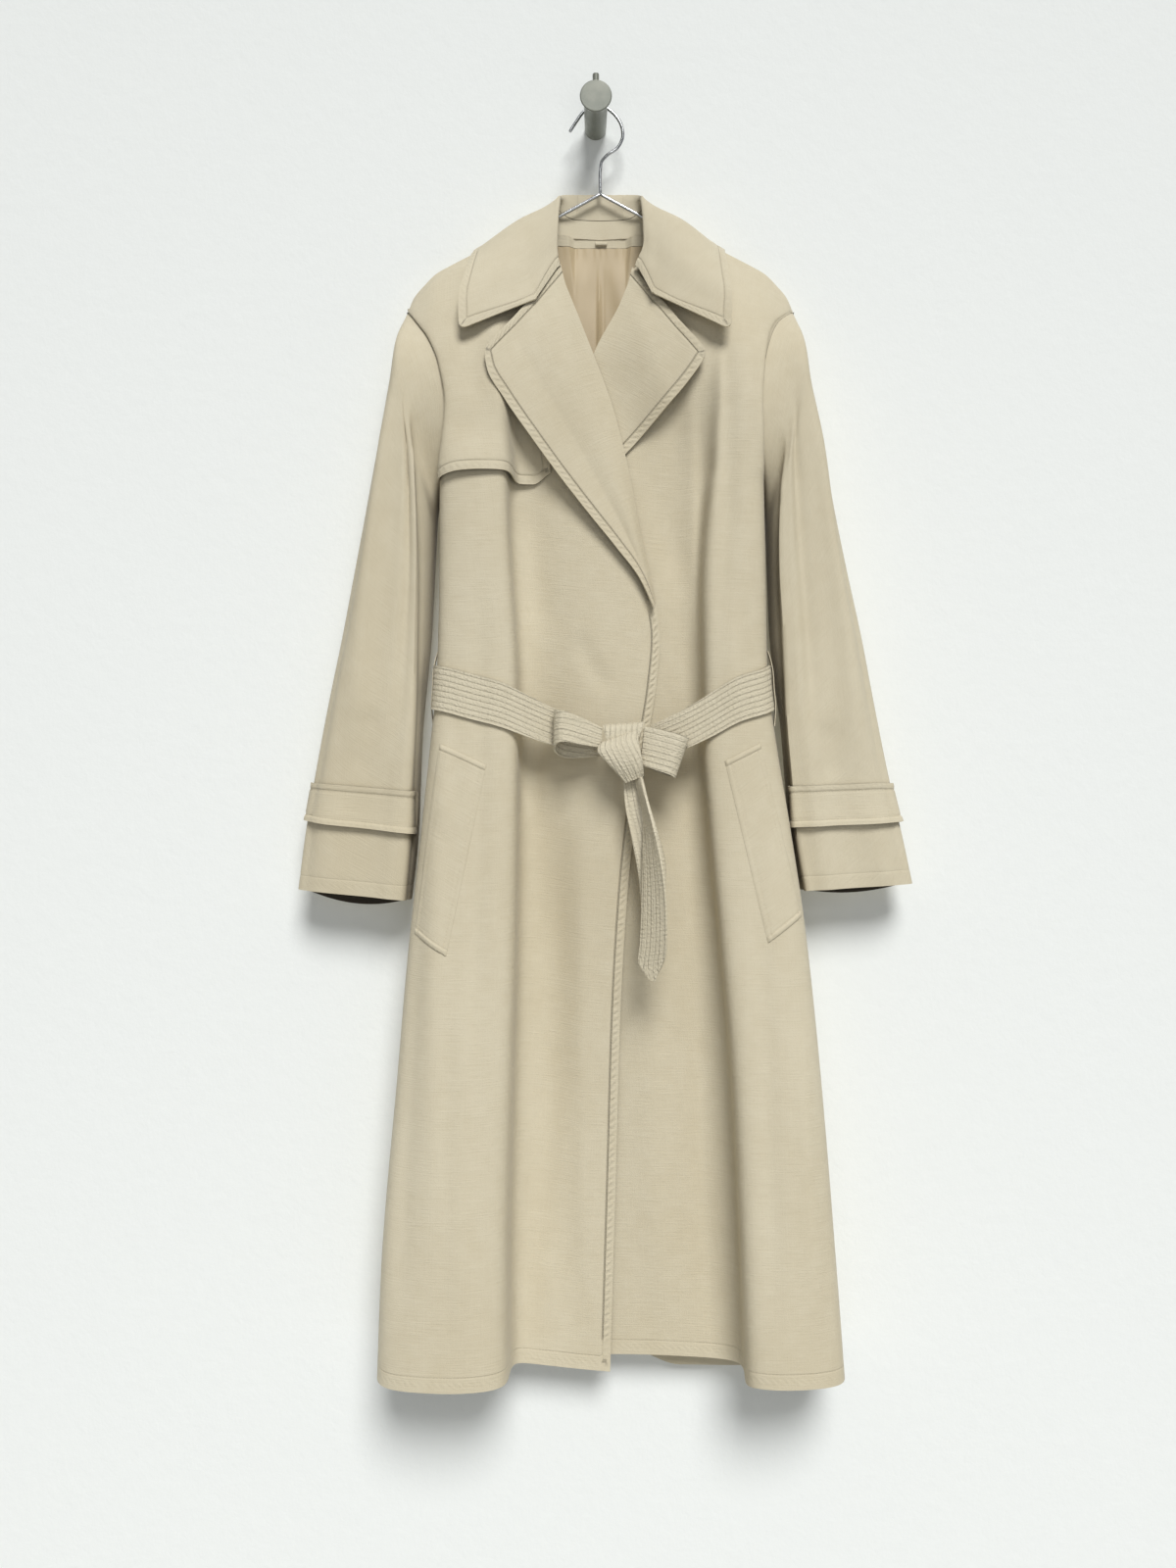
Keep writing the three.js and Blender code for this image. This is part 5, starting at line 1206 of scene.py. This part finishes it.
def thread_mesh(name, paths, slot):
    """Stitches along paths: each is a short bar whose ends go into the cloth."""
    points, faces = [], []
    shape = np.array([(0, 1, 2), (0, 2, 3), (0, 3, 4), (0, 4, 1), (5, 2, 1), (5, 3, 2), (5, 4, 3), (5, 1, 4)])
    for path, facing in paths:
        run = length_along(path)
        start = np.arange(0, run[-1] - STITCH_LONG, STITCH_PITCH)
        a, middle, b = (at_length(start + share * STITCH_LONG, run, path) for share in (0, 0.5, 1))
        up = unit(at_length(start + STITCH_LONG / 2, run, facing))
        side = unit(np.cross(b - a, up))
        middle = middle + up * STITCH_PROUD
        sink = up * STITCH_SINK
        ring = [middle + way * STITCH_R for way in (side, up, -side, -up)]
        offset = sum(len(p) for p in points)
        points.append(np.stack([a - sink, *ring, b - sink], 1).reshape(-1, 3))
        faces.append((shape[None] + offset + 6 * np.arange(len(start))[:, None, None]).reshape(-1, 3))
    mesh_object(name, np.concatenate(points), np.concatenate(faces), THREAD, slot, sharp=180)


# ---- materials


class Socket:
    """A number in a material's nodes, with ordinary arithmetic."""

    def __init__(self, tree, socket):
        self.tree = tree
        self.socket = socket

    def math(self, operation, *others):
        node = self.tree.nodes.new("ShaderNodeMath")
        node.operation = operation
        for slot, value in zip(node.inputs, (self, *others)):
            if isinstance(value, Socket):
                self.tree.links.new(value.socket, slot)
            else:
                slot.default_value = value
        return Socket(self.tree, node.outputs[0])

    def __add__(self, other):
        return self.math("ADD", other)

    def __sub__(self, other):
        return self.math("SUBTRACT", other)

    def __mul__(self, other):
        return self.math("MULTIPLY", other)

    def __truediv__(self, other):
        return self.math("DIVIDE", other)

    def sin(self):
        return self.math("SINE")

    def bell(self, middle, width):
        """1 at middle, falling softly to 0 on both sides."""
        off = (self - middle) / width
        return (off * off * -1).math("EXPONENT")

    def ramp(self, low, high):
        """0 at low and 1 at high."""
        return self.span(low, high, 0, 1)

    def span(self, low, high, to_low, to_high):
        node = self.tree.nodes.new("ShaderNodeMapRange")
        node.interpolation_type = "SMOOTHSTEP"
        self.tree.links.new(self.socket, node.inputs["Value"])
        for slot, value in zip(("From Min", "From Max", "To Min", "To Max"), (low, high, to_low, to_high)):
            node.inputs[slot].default_value = value
        return Socket(self.tree, node.outputs[0])


def new_material(name, colour, roughness, **values):
    material = bpy.data.materials.new(name)
    material.use_nodes = True
    shader = material.node_tree.nodes["Principled BSDF"]
    shader.inputs["Base Color"].default_value = (*colour, 1)
    shader.inputs["Roughness"].default_value = roughness
    for socket, value in values.items():
        shader.inputs[socket.replace("_", " ")].default_value = value
    return material, material.node_tree, shader


def attribute(tree, name, axis=None):
    node = tree.nodes.new("ShaderNodeAttribute")
    node.attribute_name = name
    if axis is None:
        return Socket(tree, node.outputs["Fac"])
    parts = tree.nodes.new("ShaderNodeSeparateXYZ")
    tree.links.new(node.outputs["Vector"], parts.inputs[0])
    return Socket(tree, parts.outputs[axis])


def noise(tree, scale, detail=2.0, rough=0.5, stretch=(1, 1, 1), place=None):
    """Noise in the object's own space, or at another place's coordinates."""
    place = place or tree.nodes.new("ShaderNodeTexCoord").outputs["Object"]
    mapping = tree.nodes.new("ShaderNodeMapping")
    mapping.inputs["Scale"].default_value = stretch
    node = tree.nodes.new("ShaderNodeTexNoise")
    for socket, value in (("Scale", scale), ("Detail", detail), ("Roughness", rough)):
        node.inputs[socket].default_value = value
    tree.links.new(place, mapping.inputs["Vector"])
    tree.links.new(mapping.outputs[0], node.inputs["Vector"])
    return Socket(tree, node.outputs[0])


def colour_mix(tree, factor, first, second):
    node = tree.nodes.new("ShaderNodeMix")
    node.data_type = "RGBA"
    tree.links.new(factor.socket, node.inputs["Factor"])
    for slot, value in (("A", first), ("B", second)):
        target = next(s for s in node.inputs if s.name == slot and s.type == "RGBA")
        if isinstance(value, tuple):
            target.default_value = (*value, 1)
        else:
            tree.links.new(value, target)
    return next(s for s in node.outputs if s.type == "RGBA")


def coloured(tree, shader, factor, first, second):
    tree.links.new(colour_mix(tree, factor, first, second), shader.inputs["Base Color"])


def bumped(tree, shader, height, distance):
    """Bump from a height whose unit is distance metres."""
    node = tree.nodes.new("ShaderNodeBump")
    node.inputs["Distance"].default_value = distance
    tree.links.new(height.socket, node.inputs["Height"])
    tree.links.new(node.outputs[0], shader.inputs["Normal"])


# painted shade: the inside of the sleeves is painted near black, for the shadow inside the tube
SLEEVE_INSIDE_PAINTED_SHADE = (0.05, 0.04, 0.028)
# painted shade: ambient occlusion darkens the cloth's colour towards brown in folds, gaps and under parts
PAINTED_SHADE = {"samples": 8, "reach": 22, "from": 0.3, "to": 0.85, "share": 0.75}
PAINTED_SHADE_BROWN = (0.13, 0.1, 0.06)
TWILL = 0.9  # millimetres between the weave's diagonal lines


def cloth_noise(tree, across, along_it, detail=2.0):
    """Noise laid along the cloth's own width and length, in its millimetres."""
    place = tree.nodes.new("ShaderNodeAttribute")
    place.attribute_name = "cloth"
    return noise(tree, 1, detail, stretch=(across, along_it, 1), place=place.outputs["Vector"])


def painted_hollow_shade(tree):
    """Painted shade: how far a place lies in a fold or a gap, from 0 to 1, found by ambient occlusion. The
    cloth's colour is darkened towards brown there, as shade.
    """
    node = tree.nodes.new("ShaderNodeAmbientOcclusion")
    node.samples = PAINTED_SHADE["samples"]
    node.inputs["Distance"].default_value = PAINTED_SHADE["reach"] * MM
    return (Socket(tree, node.outputs["AO"]) * -1 + 1).ramp(PAINTED_SHADE["from"], PAINTED_SHADE["to"]) * PAINTED_SHADE["share"]


def gabardine(name, light, dark, belt=False):
    material, tree, shader = new_material(name, light, 0.78, Sheen_Weight=0.1, Sheen_Roughness=0.45)
    shader.inputs["Specular IOR Level"].default_value = 0.3
    across, up = attribute(tree, "cloth", 0), attribute(tree, "cloth", 1)
    twill = ((across * 0.8 + up) * (2 * math.pi / TWILL)).sin()
    slub = cloth_noise(tree, 0.035, 0.75, 3)
    warp = cloth_noise(tree, 0.6, 0.02)
    grain = cloth_noise(tree, 0.9, 0.9)
    cloudy = noise(tree, 5, 3, 0.55, (1, 1, 0.6))
    mottled = noise(tree, 60, 4, 0.6)
    away, run, row = (attribute(tree, "hem", axis) for axis in range(3))
    pull = attribute(tree, "pull")
    slant = noise(tree, 160, 2)
    marks = ((run + away * 0.9 + slant * 6) * (2 * math.pi / 7.5)).sin()
    band = (away - row * 0.55).bell(0, 3) * marks * pull
    ditch = (away - row).bell(0, 0.8) * pull
    height = twill * 0.05 + grain * 0.4 + slub * 0.7 + warp * 0.3 + band * 0.4 - ditch * 1.6 + mottled * 0.6
    shade = cloudy * 0.7 + mottled * 0.3 + slub * 0.3 + warp * 0.12 - 0.2
    # painted shade: the colour darkens along the stitch ditches and the puckers beside stitched edges
    lines = ditch * 0.6
    if belt:
        phase = (across + BELT_WIDE / 2) * (2 * math.pi * BELT_ROWS / BELT_WIDE)
        groove = (phase.math("COSINE") * -1).ramp(0.55, 1)
        ripple = ((up + slant * 7) * (2 * math.pi / 4.6)).sin()
        height = height + ripple * 0.2 - groove * 0.9 + cloth_noise(tree, 0.5, 0.35, 3) * 2.2
        # painted shade: the belt's grooves darken too
        lines = lines + groove * 0.4
    bumped(tree, shader, height, 0.0005)
    mixed = colour_mix(tree, shade.ramp(0.3, 0.7), dark, light)
    # painted shade in ditches, grooves and puckers, mixed towards a darker tone
    groove_shade_mask = (lines + (marks * band).ramp(0, 1) * 0.12).ramp(0, 1)
    with_groove_shade = colour_mix(tree, groove_shade_mask, mixed, tuple(c * 0.72 for c in dark))
    # painted shade: the colour darkens towards brown in folds and gaps
    wear_and_painted_shade = colour_mix(tree, painted_hollow_shade(tree), with_groove_shade, PAINTED_SHADE_BROWN)
    # painted shade: inner faces marked for it take the near-black colour
    coloured(tree, shader, attribute(tree, "painted_shade_inside"), wear_and_painted_shade, SLEEVE_INSIDE_PAINTED_SHADE)
    return material


def lining_material():
    light, dark = (0.56, 0.45, 0.28), (0.47, 0.37, 0.22)
    material, tree, shader = new_material("lining", light, 0.48, Sheen_Weight=0.2)
    up = attribute(tree, "cloth", 1)
    threads = (up * (2 * math.pi / 0.7)).sin()
    cloudy = noise(tree, 18, 3, 0.6, (1, 1, 0.3))
    bumped(tree, shader, threads * 0.05 + cloudy * 1.5, 0.0005)
    coloured(tree, shader, cloudy.ramp(0.3, 0.7), dark, light)
    return material


def thread_material():
    material, tree, shader = new_material("thread", (0.62, 0.55, 0.4), 0.6)
    fibres = noise(tree, 2500, 2)
    coloured(tree, shader, fibres, (0.55, 0.48, 0.34), (0.68, 0.61, 0.46))
    bumped(tree, shader, fibres, 0.0001)
    return material


def steel_material():
    material, tree, shader = new_material("hanger_steel", (0.5, 0.51, 0.52), 0.26, Metallic=1.0)
    streaks = noise(tree, 90, 3)
    tree.links.new(streaks.span(0.3, 0.8, 0.22, 0.32).socket, shader.inputs["Roughness"])
    bumped(tree, shader, streaks, 0.00001)
    return material


def peg_material():
    material, tree, shader = new_material("peg_metal", (0.24, 0.25, 0.22), 0.42, Metallic=0.25)
    satin = noise(tree, 700, 3, 0.6, (1, 0.15, 1))
    # random patches of wear on the metal
    wear_and_painted_shade = noise(tree, 40, 3)
    tree.links.new(satin.span(0.2, 0.8, 0.34, 0.52).socket, shader.inputs["Roughness"])
    coloured(tree, shader, wear_and_painted_shade.ramp(0.35, 0.7), (0.17, 0.18, 0.15), (0.23, 0.235, 0.195))
    bumped(tree, shader, satin, 0.00006)
    return material


COAT = gabardine("coat_cloth", (0.61, 0.55, 0.41), (0.55, 0.485, 0.345))
BELT = gabardine("belt_cloth", (0.64, 0.58, 0.44), (0.58, 0.52, 0.38), belt=True)
LINING = lining_material()
THREAD = thread_material()
STEEL = steel_material()
PEG = peg_material()

# ---- pieces


def square_metres(grid):
    a = np.linalg.norm(np.cross(grid[1:, 1:] - grid[:-1, :-1], grid[1:, :-1] - grid[:-1, 1:]), axis=-1)
    return a.sum() / 2 * MM * MM


LEAST_AREA = 0.31


def cloth_piece(
    node, grid, thickness, flat, facing=-1, closed=False,
    stitched=None, pull=1.0, inner=None, material=COAT, slot=None, sharp=50, painted_shade_inside=0,
):
    """A piece of cloth on the grid of its outer face. It stands for a CAD node."""
    if inner is None:
        inner = grid + normals_of(grid, closed) * facing * thickness
    points, faces = between(grid, inner, closed)
    attributes = cloth_attributes(grid, stitched or {}, pull, painted_shade_inside)
    piece = mesh_object(node + "_cloth", points, faces, material, slot, attributes, sharp)
    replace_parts(piece, node)
    width, length = flat
    whole = width * length * MM * MM
    area = np.clip(square_metres(grid), LEAST_AREA * whole, whole)
    width * MM
    length * MM


EDGE_STITCH = 9  # from an edge to its row of stitches
HEM_STITCH = 15
HEM_TRIM = 4
OPEN_Z = -518  # below which a front's edge is free of its lapel
PRESSED_Z = -515  # where the pressing of that edge begins


def dress_fronts():
    for node, under, edge in (("front_right", False, "right"), ("front_left", True, "left")):
        grid = front_grid(under)
        low = smooth((PRESSED_Z - grid[..., 2]) / 20)
        normals = normals_of(grid)
        grid = pressed(grid, normals, edge, EDGE_STITCH, where=low)
        grid = pressed(grid, normals, "bottom", HEM_STITCH)
        near_hem = border_distances(grid)["bottom"][0] < 2 * HEM_STITCH
        cloth_piece(
            node, grid, CLOTH, (400, 1215), inner=seam_cut_inner(grid, normals),
            stitched={edge: EDGE_STITCH, "bottom": HEM_STITCH}, pull=np.where(near_hem, 0.45, 1.8 * low),
        )
        remember_stitches(grid, normals, edge, EDGE_STITCH, keep=lambda p: p[:, 2] < OPEN_Z)
        remember_stitches(grid, normals, "bottom", HEM_STITCH, HEM_TRIM)


def dress_back():
    grid = back_grid()
    normals = normals_of(grid)
    rows = {"bottom": HEM_STITCH}
    grid = sewn(grid, normals, rows, trim=HEM_TRIM)
    inner = seam_cut_inner(grid, normals, 1 - behind_neck(grid[-1, :, 0] - COAT_X))
    cloth_piece("back", grid, CLOTH, (500, 1225), inner=inner, stitched=rows, pull=0.45)


def dress_sleeves():
    for side, sign in SIDES:
        grid = sleeve_grid(sign)
        grid = pressed(grid, normals_of(grid, True) * sign, "top", HEM_STITCH, where=0.8)
        # its inner face is painted near black, as shade inside the sleeve
        cloth_piece(
            f"sleeve_{side}", grid, CLOTH, (330, 640), facing=-sign, closed=True,
            stitched={"top": HEM_STITCH}, pull=0.25, painted_shade_inside=1,
        )
        corners = [(a, b) for a in ("left", "right") for b in ("bottom", "top")]
        strap = rounded(cuff_strap_grid(sign), corners, 3)
        normals = normals_of(strap) * sign
        nearest = np.min([away for away, _ in border_distances(strap).values()], 0)
        strap = strap + normals * (1 - smooth((nearest - 4.5) / 3))[..., None]
        rows = {"left": 6, "right": 6, "bottom": 6.5, "top": 6.5}
        cloth_piece(
            f"cuff_strap_{side}", sewn(strap, normals, rows, deep=0.7, wide=1.3), CLOTH, (135, 46),
            facing=-sign, stitched=rows, pull=0.35,
        )


def dress_collar():
    grid = rounded(collar_fall_grid(), [("right", "bottom"), ("right", "top")], 9)
    rows = dict.fromkeys(("right", "bottom", "top"), EDGE_STITCH)
    cloth_piece(
        "collar_fall", sewn(grid, -normals_of(grid), rows, deep=0.4), COLLAR_CLOTH, (560, 125),
        facing=1, stitched=rows, pull=0.7,
    )
    cloth_piece("collar_stand", collar_stand_grid(), COLLAR_CLOTH, (240, 24), facing=1, pull=0)


def dress_lapels():
    for side, under, edge in (("right", False, "left"), ("left", True, "right")):
        grid = rounded(lapel_grid(under), [(edge, "top")], 9)
        stitched = dict.fromkeys((edge, "top"), EDGE_STITCH)
        cloth_piece(
            f"lapel_{side}", sewn(grid, normals_of(grid), stitched, deep=0.4), LAPEL_CLOTH, (120, 385),
            stitched=stitched, pull=1.3,
        )


def dress_flap_and_welts():
    grid, inner = storm_flap_grids()
    normals = normals_of(grid)
    stitched = dict.fromkeys(("bottom", "right"), EDGE_STITCH)
    for border, distance in stitched.items():
        grid = pressed(grid, normals, border, distance, deep=0.4)
    remember_stitches(grid, normals, "bottom", EDGE_STITCH)
    cloth_piece(
        "storm_flap", grid, CLOTH, (170, 255), inner=inner, stitched=stitched,
        pull=0.7,
    )
    rows = {"left": 6, "right": 5, "bottom": 6.4, "top": 6.4}
    for side, corners, under in (("right", RIGHT_WELT, False), ("left", LEFT_WELT, True)):
        grid, inner = welt_grids(corners, under)
        cloth_piece(
            f"pocket_welt_{side}", sewn(grid, normals_of(grid), rows, 0.45, 0.9, trim=4), CLOTH, (50, 205),
            inner=inner,
            stitched={border: rows[border] for border in ("bottom", "top")}, pull=0.25, sharp=180,
        )


def dress_neck():
    facing = inside_grid(FACING_TOP, FACING_END, 8, 60, CLOTH)
    cloth_piece("neck_facing", facing, CLOTH, (96, 20), pull=0)
    lining = inside_grid(FACING_END - 0.4, LINING_END, 90, 90, LINING_CLOTH, lining_relief)
    cloth_piece(
        "back_lining", lining, LINING_CLOTH, (100, 300), pull=0, material=LINING
    )
    cloth_piece("hanging_loop", hanging_loop_grid(), 0.9, (12, 15), pull=0)


def belt_piece(node, grid, length, facing=-1):
    normals = normals_of(grid) * -facing
    grid = quilted(grid, normals)
    for row in range(BELT_ROWS):
        place = (grid.shape[1] - 1) * (row + 0.5) / BELT_ROWS
        i = int(place)
        path, up = (mix(values[:, i], values[:, i + 1], place - i)[1:-1] for values in (grid, normals))
        thread_paths["belt"].append((path, up))
    cloth_piece(node, grid, BELT_CLOTH, (BELT_WIDE, length), facing, pull=0, material=BELT)


def dress_belt():
    belt_piece("belt_back", belt_back_grid(), 440, 1)
    for side, rows, knot, under, facing in (
        ("right", RIGHT_BELT, RIGHT_KNOT, False, -1),
        ("left", LEFT_BELT, LEFT_KNOT, True, 1),
    ):
        grid = belt_front_grid(rows, knot, under)
        belt_piece(f"belt_front_{side}", grid, 260, facing)
    for node, rows, steps, length, held in (
        ("bow_ear_right", RIGHT_EAR, 70, 110, "folded"),
        ("bow_ear_left", LEFT_EAR, 70, 110, "folded"),
        ("belt_tail_rear", REAR_TAIL, 60, 165, "hung"),
        ("belt_tail_front", FRONT_TAIL, 70, 205, "hung"),
    ):
        belt_piece(node, ribbon_grid(rows, steps), length)
    for side, sign in SIDES:
        cloth_piece(
            f"belt_loop_{side}", belt_loop_grid(sign), 0.8, (10, 85), facing=sign, pull=0,
            material=THREAD, slot="coat_cloth",
        )


KNOT_MIDDLE = {"x": 28, "z": -668}


def knot_layer(edges, bulge, back, steps):
    """Outer and inner face of one of the knot's layers, whose sides bend back round the knot."""
    a, b = ribbon_edges(edges, steps)
    j = np.linspace(0, 1, 46)[None, :, None]
    outer = mix(a[:, None], b[:, None], j) - vec(0, bulge, 0) * (np.sin(math.pi * j) ** 0.6 - 1)
    outer = outer - vec(0, bulge, 0)
    rows = np.arange(BELT_ROWS)[:, None, None] + 0.5
    pinch = np.exp(-(((rows - j[..., 0] * BELT_ROWS) * 6.5) ** 2)).sum(0)
    outer = outer - normals_of(outer) * (0.45 * pinch)[..., None]
    x, y, z = np.moveaxis(outer, -1, 0)
    return outer, vec(mix(x, KNOT_MIDDLE["x"], 0.1), np.minimum(y + 5, back), mix(z, KNOT_MIDDLE["z"], 0.08))


def dress_knot():
    under, under_inner = knot_layer(KNOT_UNDER, 2, -98.5, 24)
    over, over_inner = knot_layer(KNOT_BAND, 3.4, -100.6, 46)
    cloth_piece(
        "belt_knot", over, BELT_CLOTH, (BELT_WIDE, 62), inner=over_inner, pull=0, material=BELT
    )
    points, faces = between(under, under_inner)
    behind = mesh_object("belt_knot_behind", points, faces, BELT, attributes=cloth_attributes(under, {}, 0))
    area = square_metres(under)


def capped(rings, ends):
    """Points and faces of a round body: its rings, with a point at each end."""
    rows, sides = rings.shape[:2]
    count, j = rows * sides, np.arange(sides)
    on = (j + 1) % sides
    first = np.stack([np.full(sides, count), on, j], -1)
    last = np.stack([np.full(sides, count + 1), count - sides + j, count - sides + on], -1)
    faces = [*quads_of(rows, sides, True).tolist(), *first.tolist(), *last.tolist()]
    return np.concatenate([rings.reshape(-1, 3), ends]), faces


def joined(bodies):
    """Points and faces of several bodies as one."""
    points, faces, offset = [], [], 0
    for body_points, body_faces in bodies:
        points.append(body_points)
        faces += [[i + offset for i in face] for face in body_faces]
        offset += len(body_points)
    return np.concatenate(points), faces


def wire(points, radius=WIRE_R, sides=20, step=1.2):
    """A round bar along a curve in the hanger's plane, with round ends."""
    points = np.array(points, float)
    points = vec(points[:, 0], HANGER_Y, points[:, 1])
    length = length_along(points)[-1]
    share = np.linspace(0, 1, round(length / step))
    ends = 0.5 * (1 - np.cos(np.linspace(0, math.pi / 2, 6))) * 2 / length
    path = along(points, np.unique(np.concatenate([ends, share[2:-2], 1 - ends])))
    aside = np.array([0.0, 1, 0])
    other = unit(np.cross(unit(np.gradient(path, axis=0)), aside))
    angle = np.linspace(0, 2 * math.pi, sides, endpoint=False)[None, :, None]
    ring = np.cos(angle) * aside + np.sin(angle) * other[:, None, :]
    run = length_along(path)
    end = np.minimum(run, run[-1] - run)
    swell = np.maximum(np.sqrt(1 - (1 - np.clip(end / radius, 0, 1)) ** 2), 0.05)
    rings = path[:, None, :] + ring * (radius * swell)[:, None, None]
    return capped(rings, rings[[0, -1]].mean(1))


def dress_hanger():
    reach = ARM_REACH * np.linspace(0, 1, 3)
    arms = [list(zip(sign * reach + COAT_X, HANGER_TOP - ARM_SLOPE * reach)) for _, sign in SIDES]
    wires = joined([wire(line) for line in (HOOK, *arms)])
    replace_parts(mesh_object("hanger_wire", *wires, STEEL, sharp=180), "hanger")


PEG_PROFILE = (
    (0, 0), (10.6, 0), (11.3, 0.7), (11.6, 12), (12.1, 50), (12.3, 60), (12.8, 64),
    (13.7, 67.8), (14.9, 70.8), (15.9, 73.2), (16.3, 74.2), (15.9, 74.8), (15.3, 75), (0, 75),
)
PIN = {"r": 3.3, "top": 27.5, "y": -64}


def lathe(profile, sides, place):
    """A turned body: profile is (radius, height), and place maps x, y, height into the frame."""
    profile = np.array(profile, float)
    angle = np.linspace(0, 2 * math.pi, sides, endpoint=False)
    radius, height = profile[1:-1, :1], profile[1:-1, 1:]
    rings = place(radius * np.cos(angle), radius * np.sin(angle), height)
    return capped(rings, place(0, 0, profile[[0, -1], 1]))


def dress_peg():
    r, top, y0 = PIN["r"], PIN["top"], PIN["y"]
    profile = ((0, 0), (r, 0), (r, top - 0.8), (r - 0.25, top - 0.25), (r - 0.8, top), (0, top))
    shaft = lathe(PEG_PROFILE, 96, lambda x, y, h: vec(x, -h, y))
    pin = lathe(profile, 40, lambda x, y, h: vec(x, y + y0, h))
    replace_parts(mesh_object("peg_turned", *joined([shaft, pin]), PEG, sharp=14), "wall_peg")


dress_fronts()
dress_back()
dress_sleeves()
dress_collar()
dress_lapels()
dress_flap_and_welts()
dress_neck()
dress_belt()
dress_knot()
dress_hanger()
dress_peg()
for kind, paths in thread_paths.items():
    thread_mesh(f"stitches_{kind}", paths, f"{kind}_cloth")

# ---- wall, floor, light and camera


def plane(name, corners, material):
    mesh = bpy.data.meshes.new(name)
    mesh.from_pydata(corners, [], [(0, 1, 2, 3)])
    mesh.materials.append(material)
    thing = linked(name, mesh)
    return thing


def wall_material():
    material, tree, shader = new_material("wall_paint", (0.8, 0.82, 0.8), 0.9)
    bumped(tree, shader, noise(tree, 60, 4, 0.6), 0.0006)
    clear = tree.nodes.new("ShaderNodeBsdfTransparent")
    side = tree.nodes.new("ShaderNodeNewGeometry")
    choice = tree.nodes.new("ShaderNodeMixShader")
    tree.links.new(side.outputs["Backfacing"], choice.inputs[0])
    tree.links.new(shader.outputs[0], choice.inputs[1])
    tree.links.new(clear.outputs[0], choice.inputs[2])
    tree.links.new(choice.outputs[0], tree.nodes["Material Output"].inputs["Surface"])
    return material


WALL = {"left": -4, "right": 4, "y": 0.0004, "top": 2.4}
FLOOR = {"z": -1.8, "near": -5, "far": 3}
wall = plane(
    "wall",
    [(WALL[x], WALL["y"], z) for x, z in (
        ("left", FLOOR["z"]), ("right", FLOOR["z"]), ("right", WALL["top"]), ("left", WALL["top"]),
    )],
    wall_material(),
)
wall.visible_shadow = False  # so that the light behind it reaches the coat's back
floor_paint, floor_tree, floor_shader = new_material("floor", (0.4, 0.4, 0.39), 0.7)
bumped(floor_tree, floor_shader, noise(floor_tree, 30, 3), 0.0004)
plane(
    "floor",
    [(WALL[x], FLOOR[y], FLOOR["z"]) for x, y in (
        ("left", "near"), ("right", "near"), ("right", "far"), ("left", "far"),
    )],
    floor_paint,
)


SUN = {"power": 2.95, "wide": 24, "high": 43, "right": 10}  # angles in degrees


def area_light(name, place, target, size, power):
    light = bpy.data.lights.new(name, "AREA")
    light.shape = "RECTANGLE"
    light.size, light.size_y = size
    light.energy = power
    thing = linked(name, light)
    thing.location = place
    thing.rotation_euler = (Vector(target) - Vector(place)).to_track_quat("-Z", "Y").to_euler()


sun_data = bpy.data.lights.new("sun", "SUN")
sun_data.energy = SUN["power"]
sun_data.angle = math.radians(SUN["wide"])
sun = linked("sun", sun_data)
sun.rotation_euler = (math.radians(90 - SUN["high"]), 0, math.radians(SUN["right"]))
area_light("fill", (0.1, -2.2, -0.6), (0, 0, -0.65), (1.4, 1.4), 6.5)
area_light("behind", (0.3, 1.8, 0.6), (0, 0, -0.7), (2.0, 1.6), 22)

world = bpy.data.worlds.new("studio")
world.use_nodes = True
sky = world.node_tree.nodes["Background"].inputs
sky["Color"].default_value = (0.95, 0.98, 1, 1)
sky["Strength"].default_value = 0.16
scene = bpy.context.scene
scene.world = world
scene.view_settings.view_transform = "Standard"

CAMERA = {"x": -8, "y": -1485, "z": -700.2, "lens": 31.84, "sensor": 36}
camera_data = bpy.data.cameras.new("camera")
camera_data.lens = CAMERA["lens"]
camera_data.sensor_width = CAMERA["sensor"]
camera = linked("camera", camera_data)
camera.location = [CAMERA[axis] * MM for axis in "xyz"]
camera.rotation_euler = (math.pi / 2, 0, 0)
scene.camera = camera
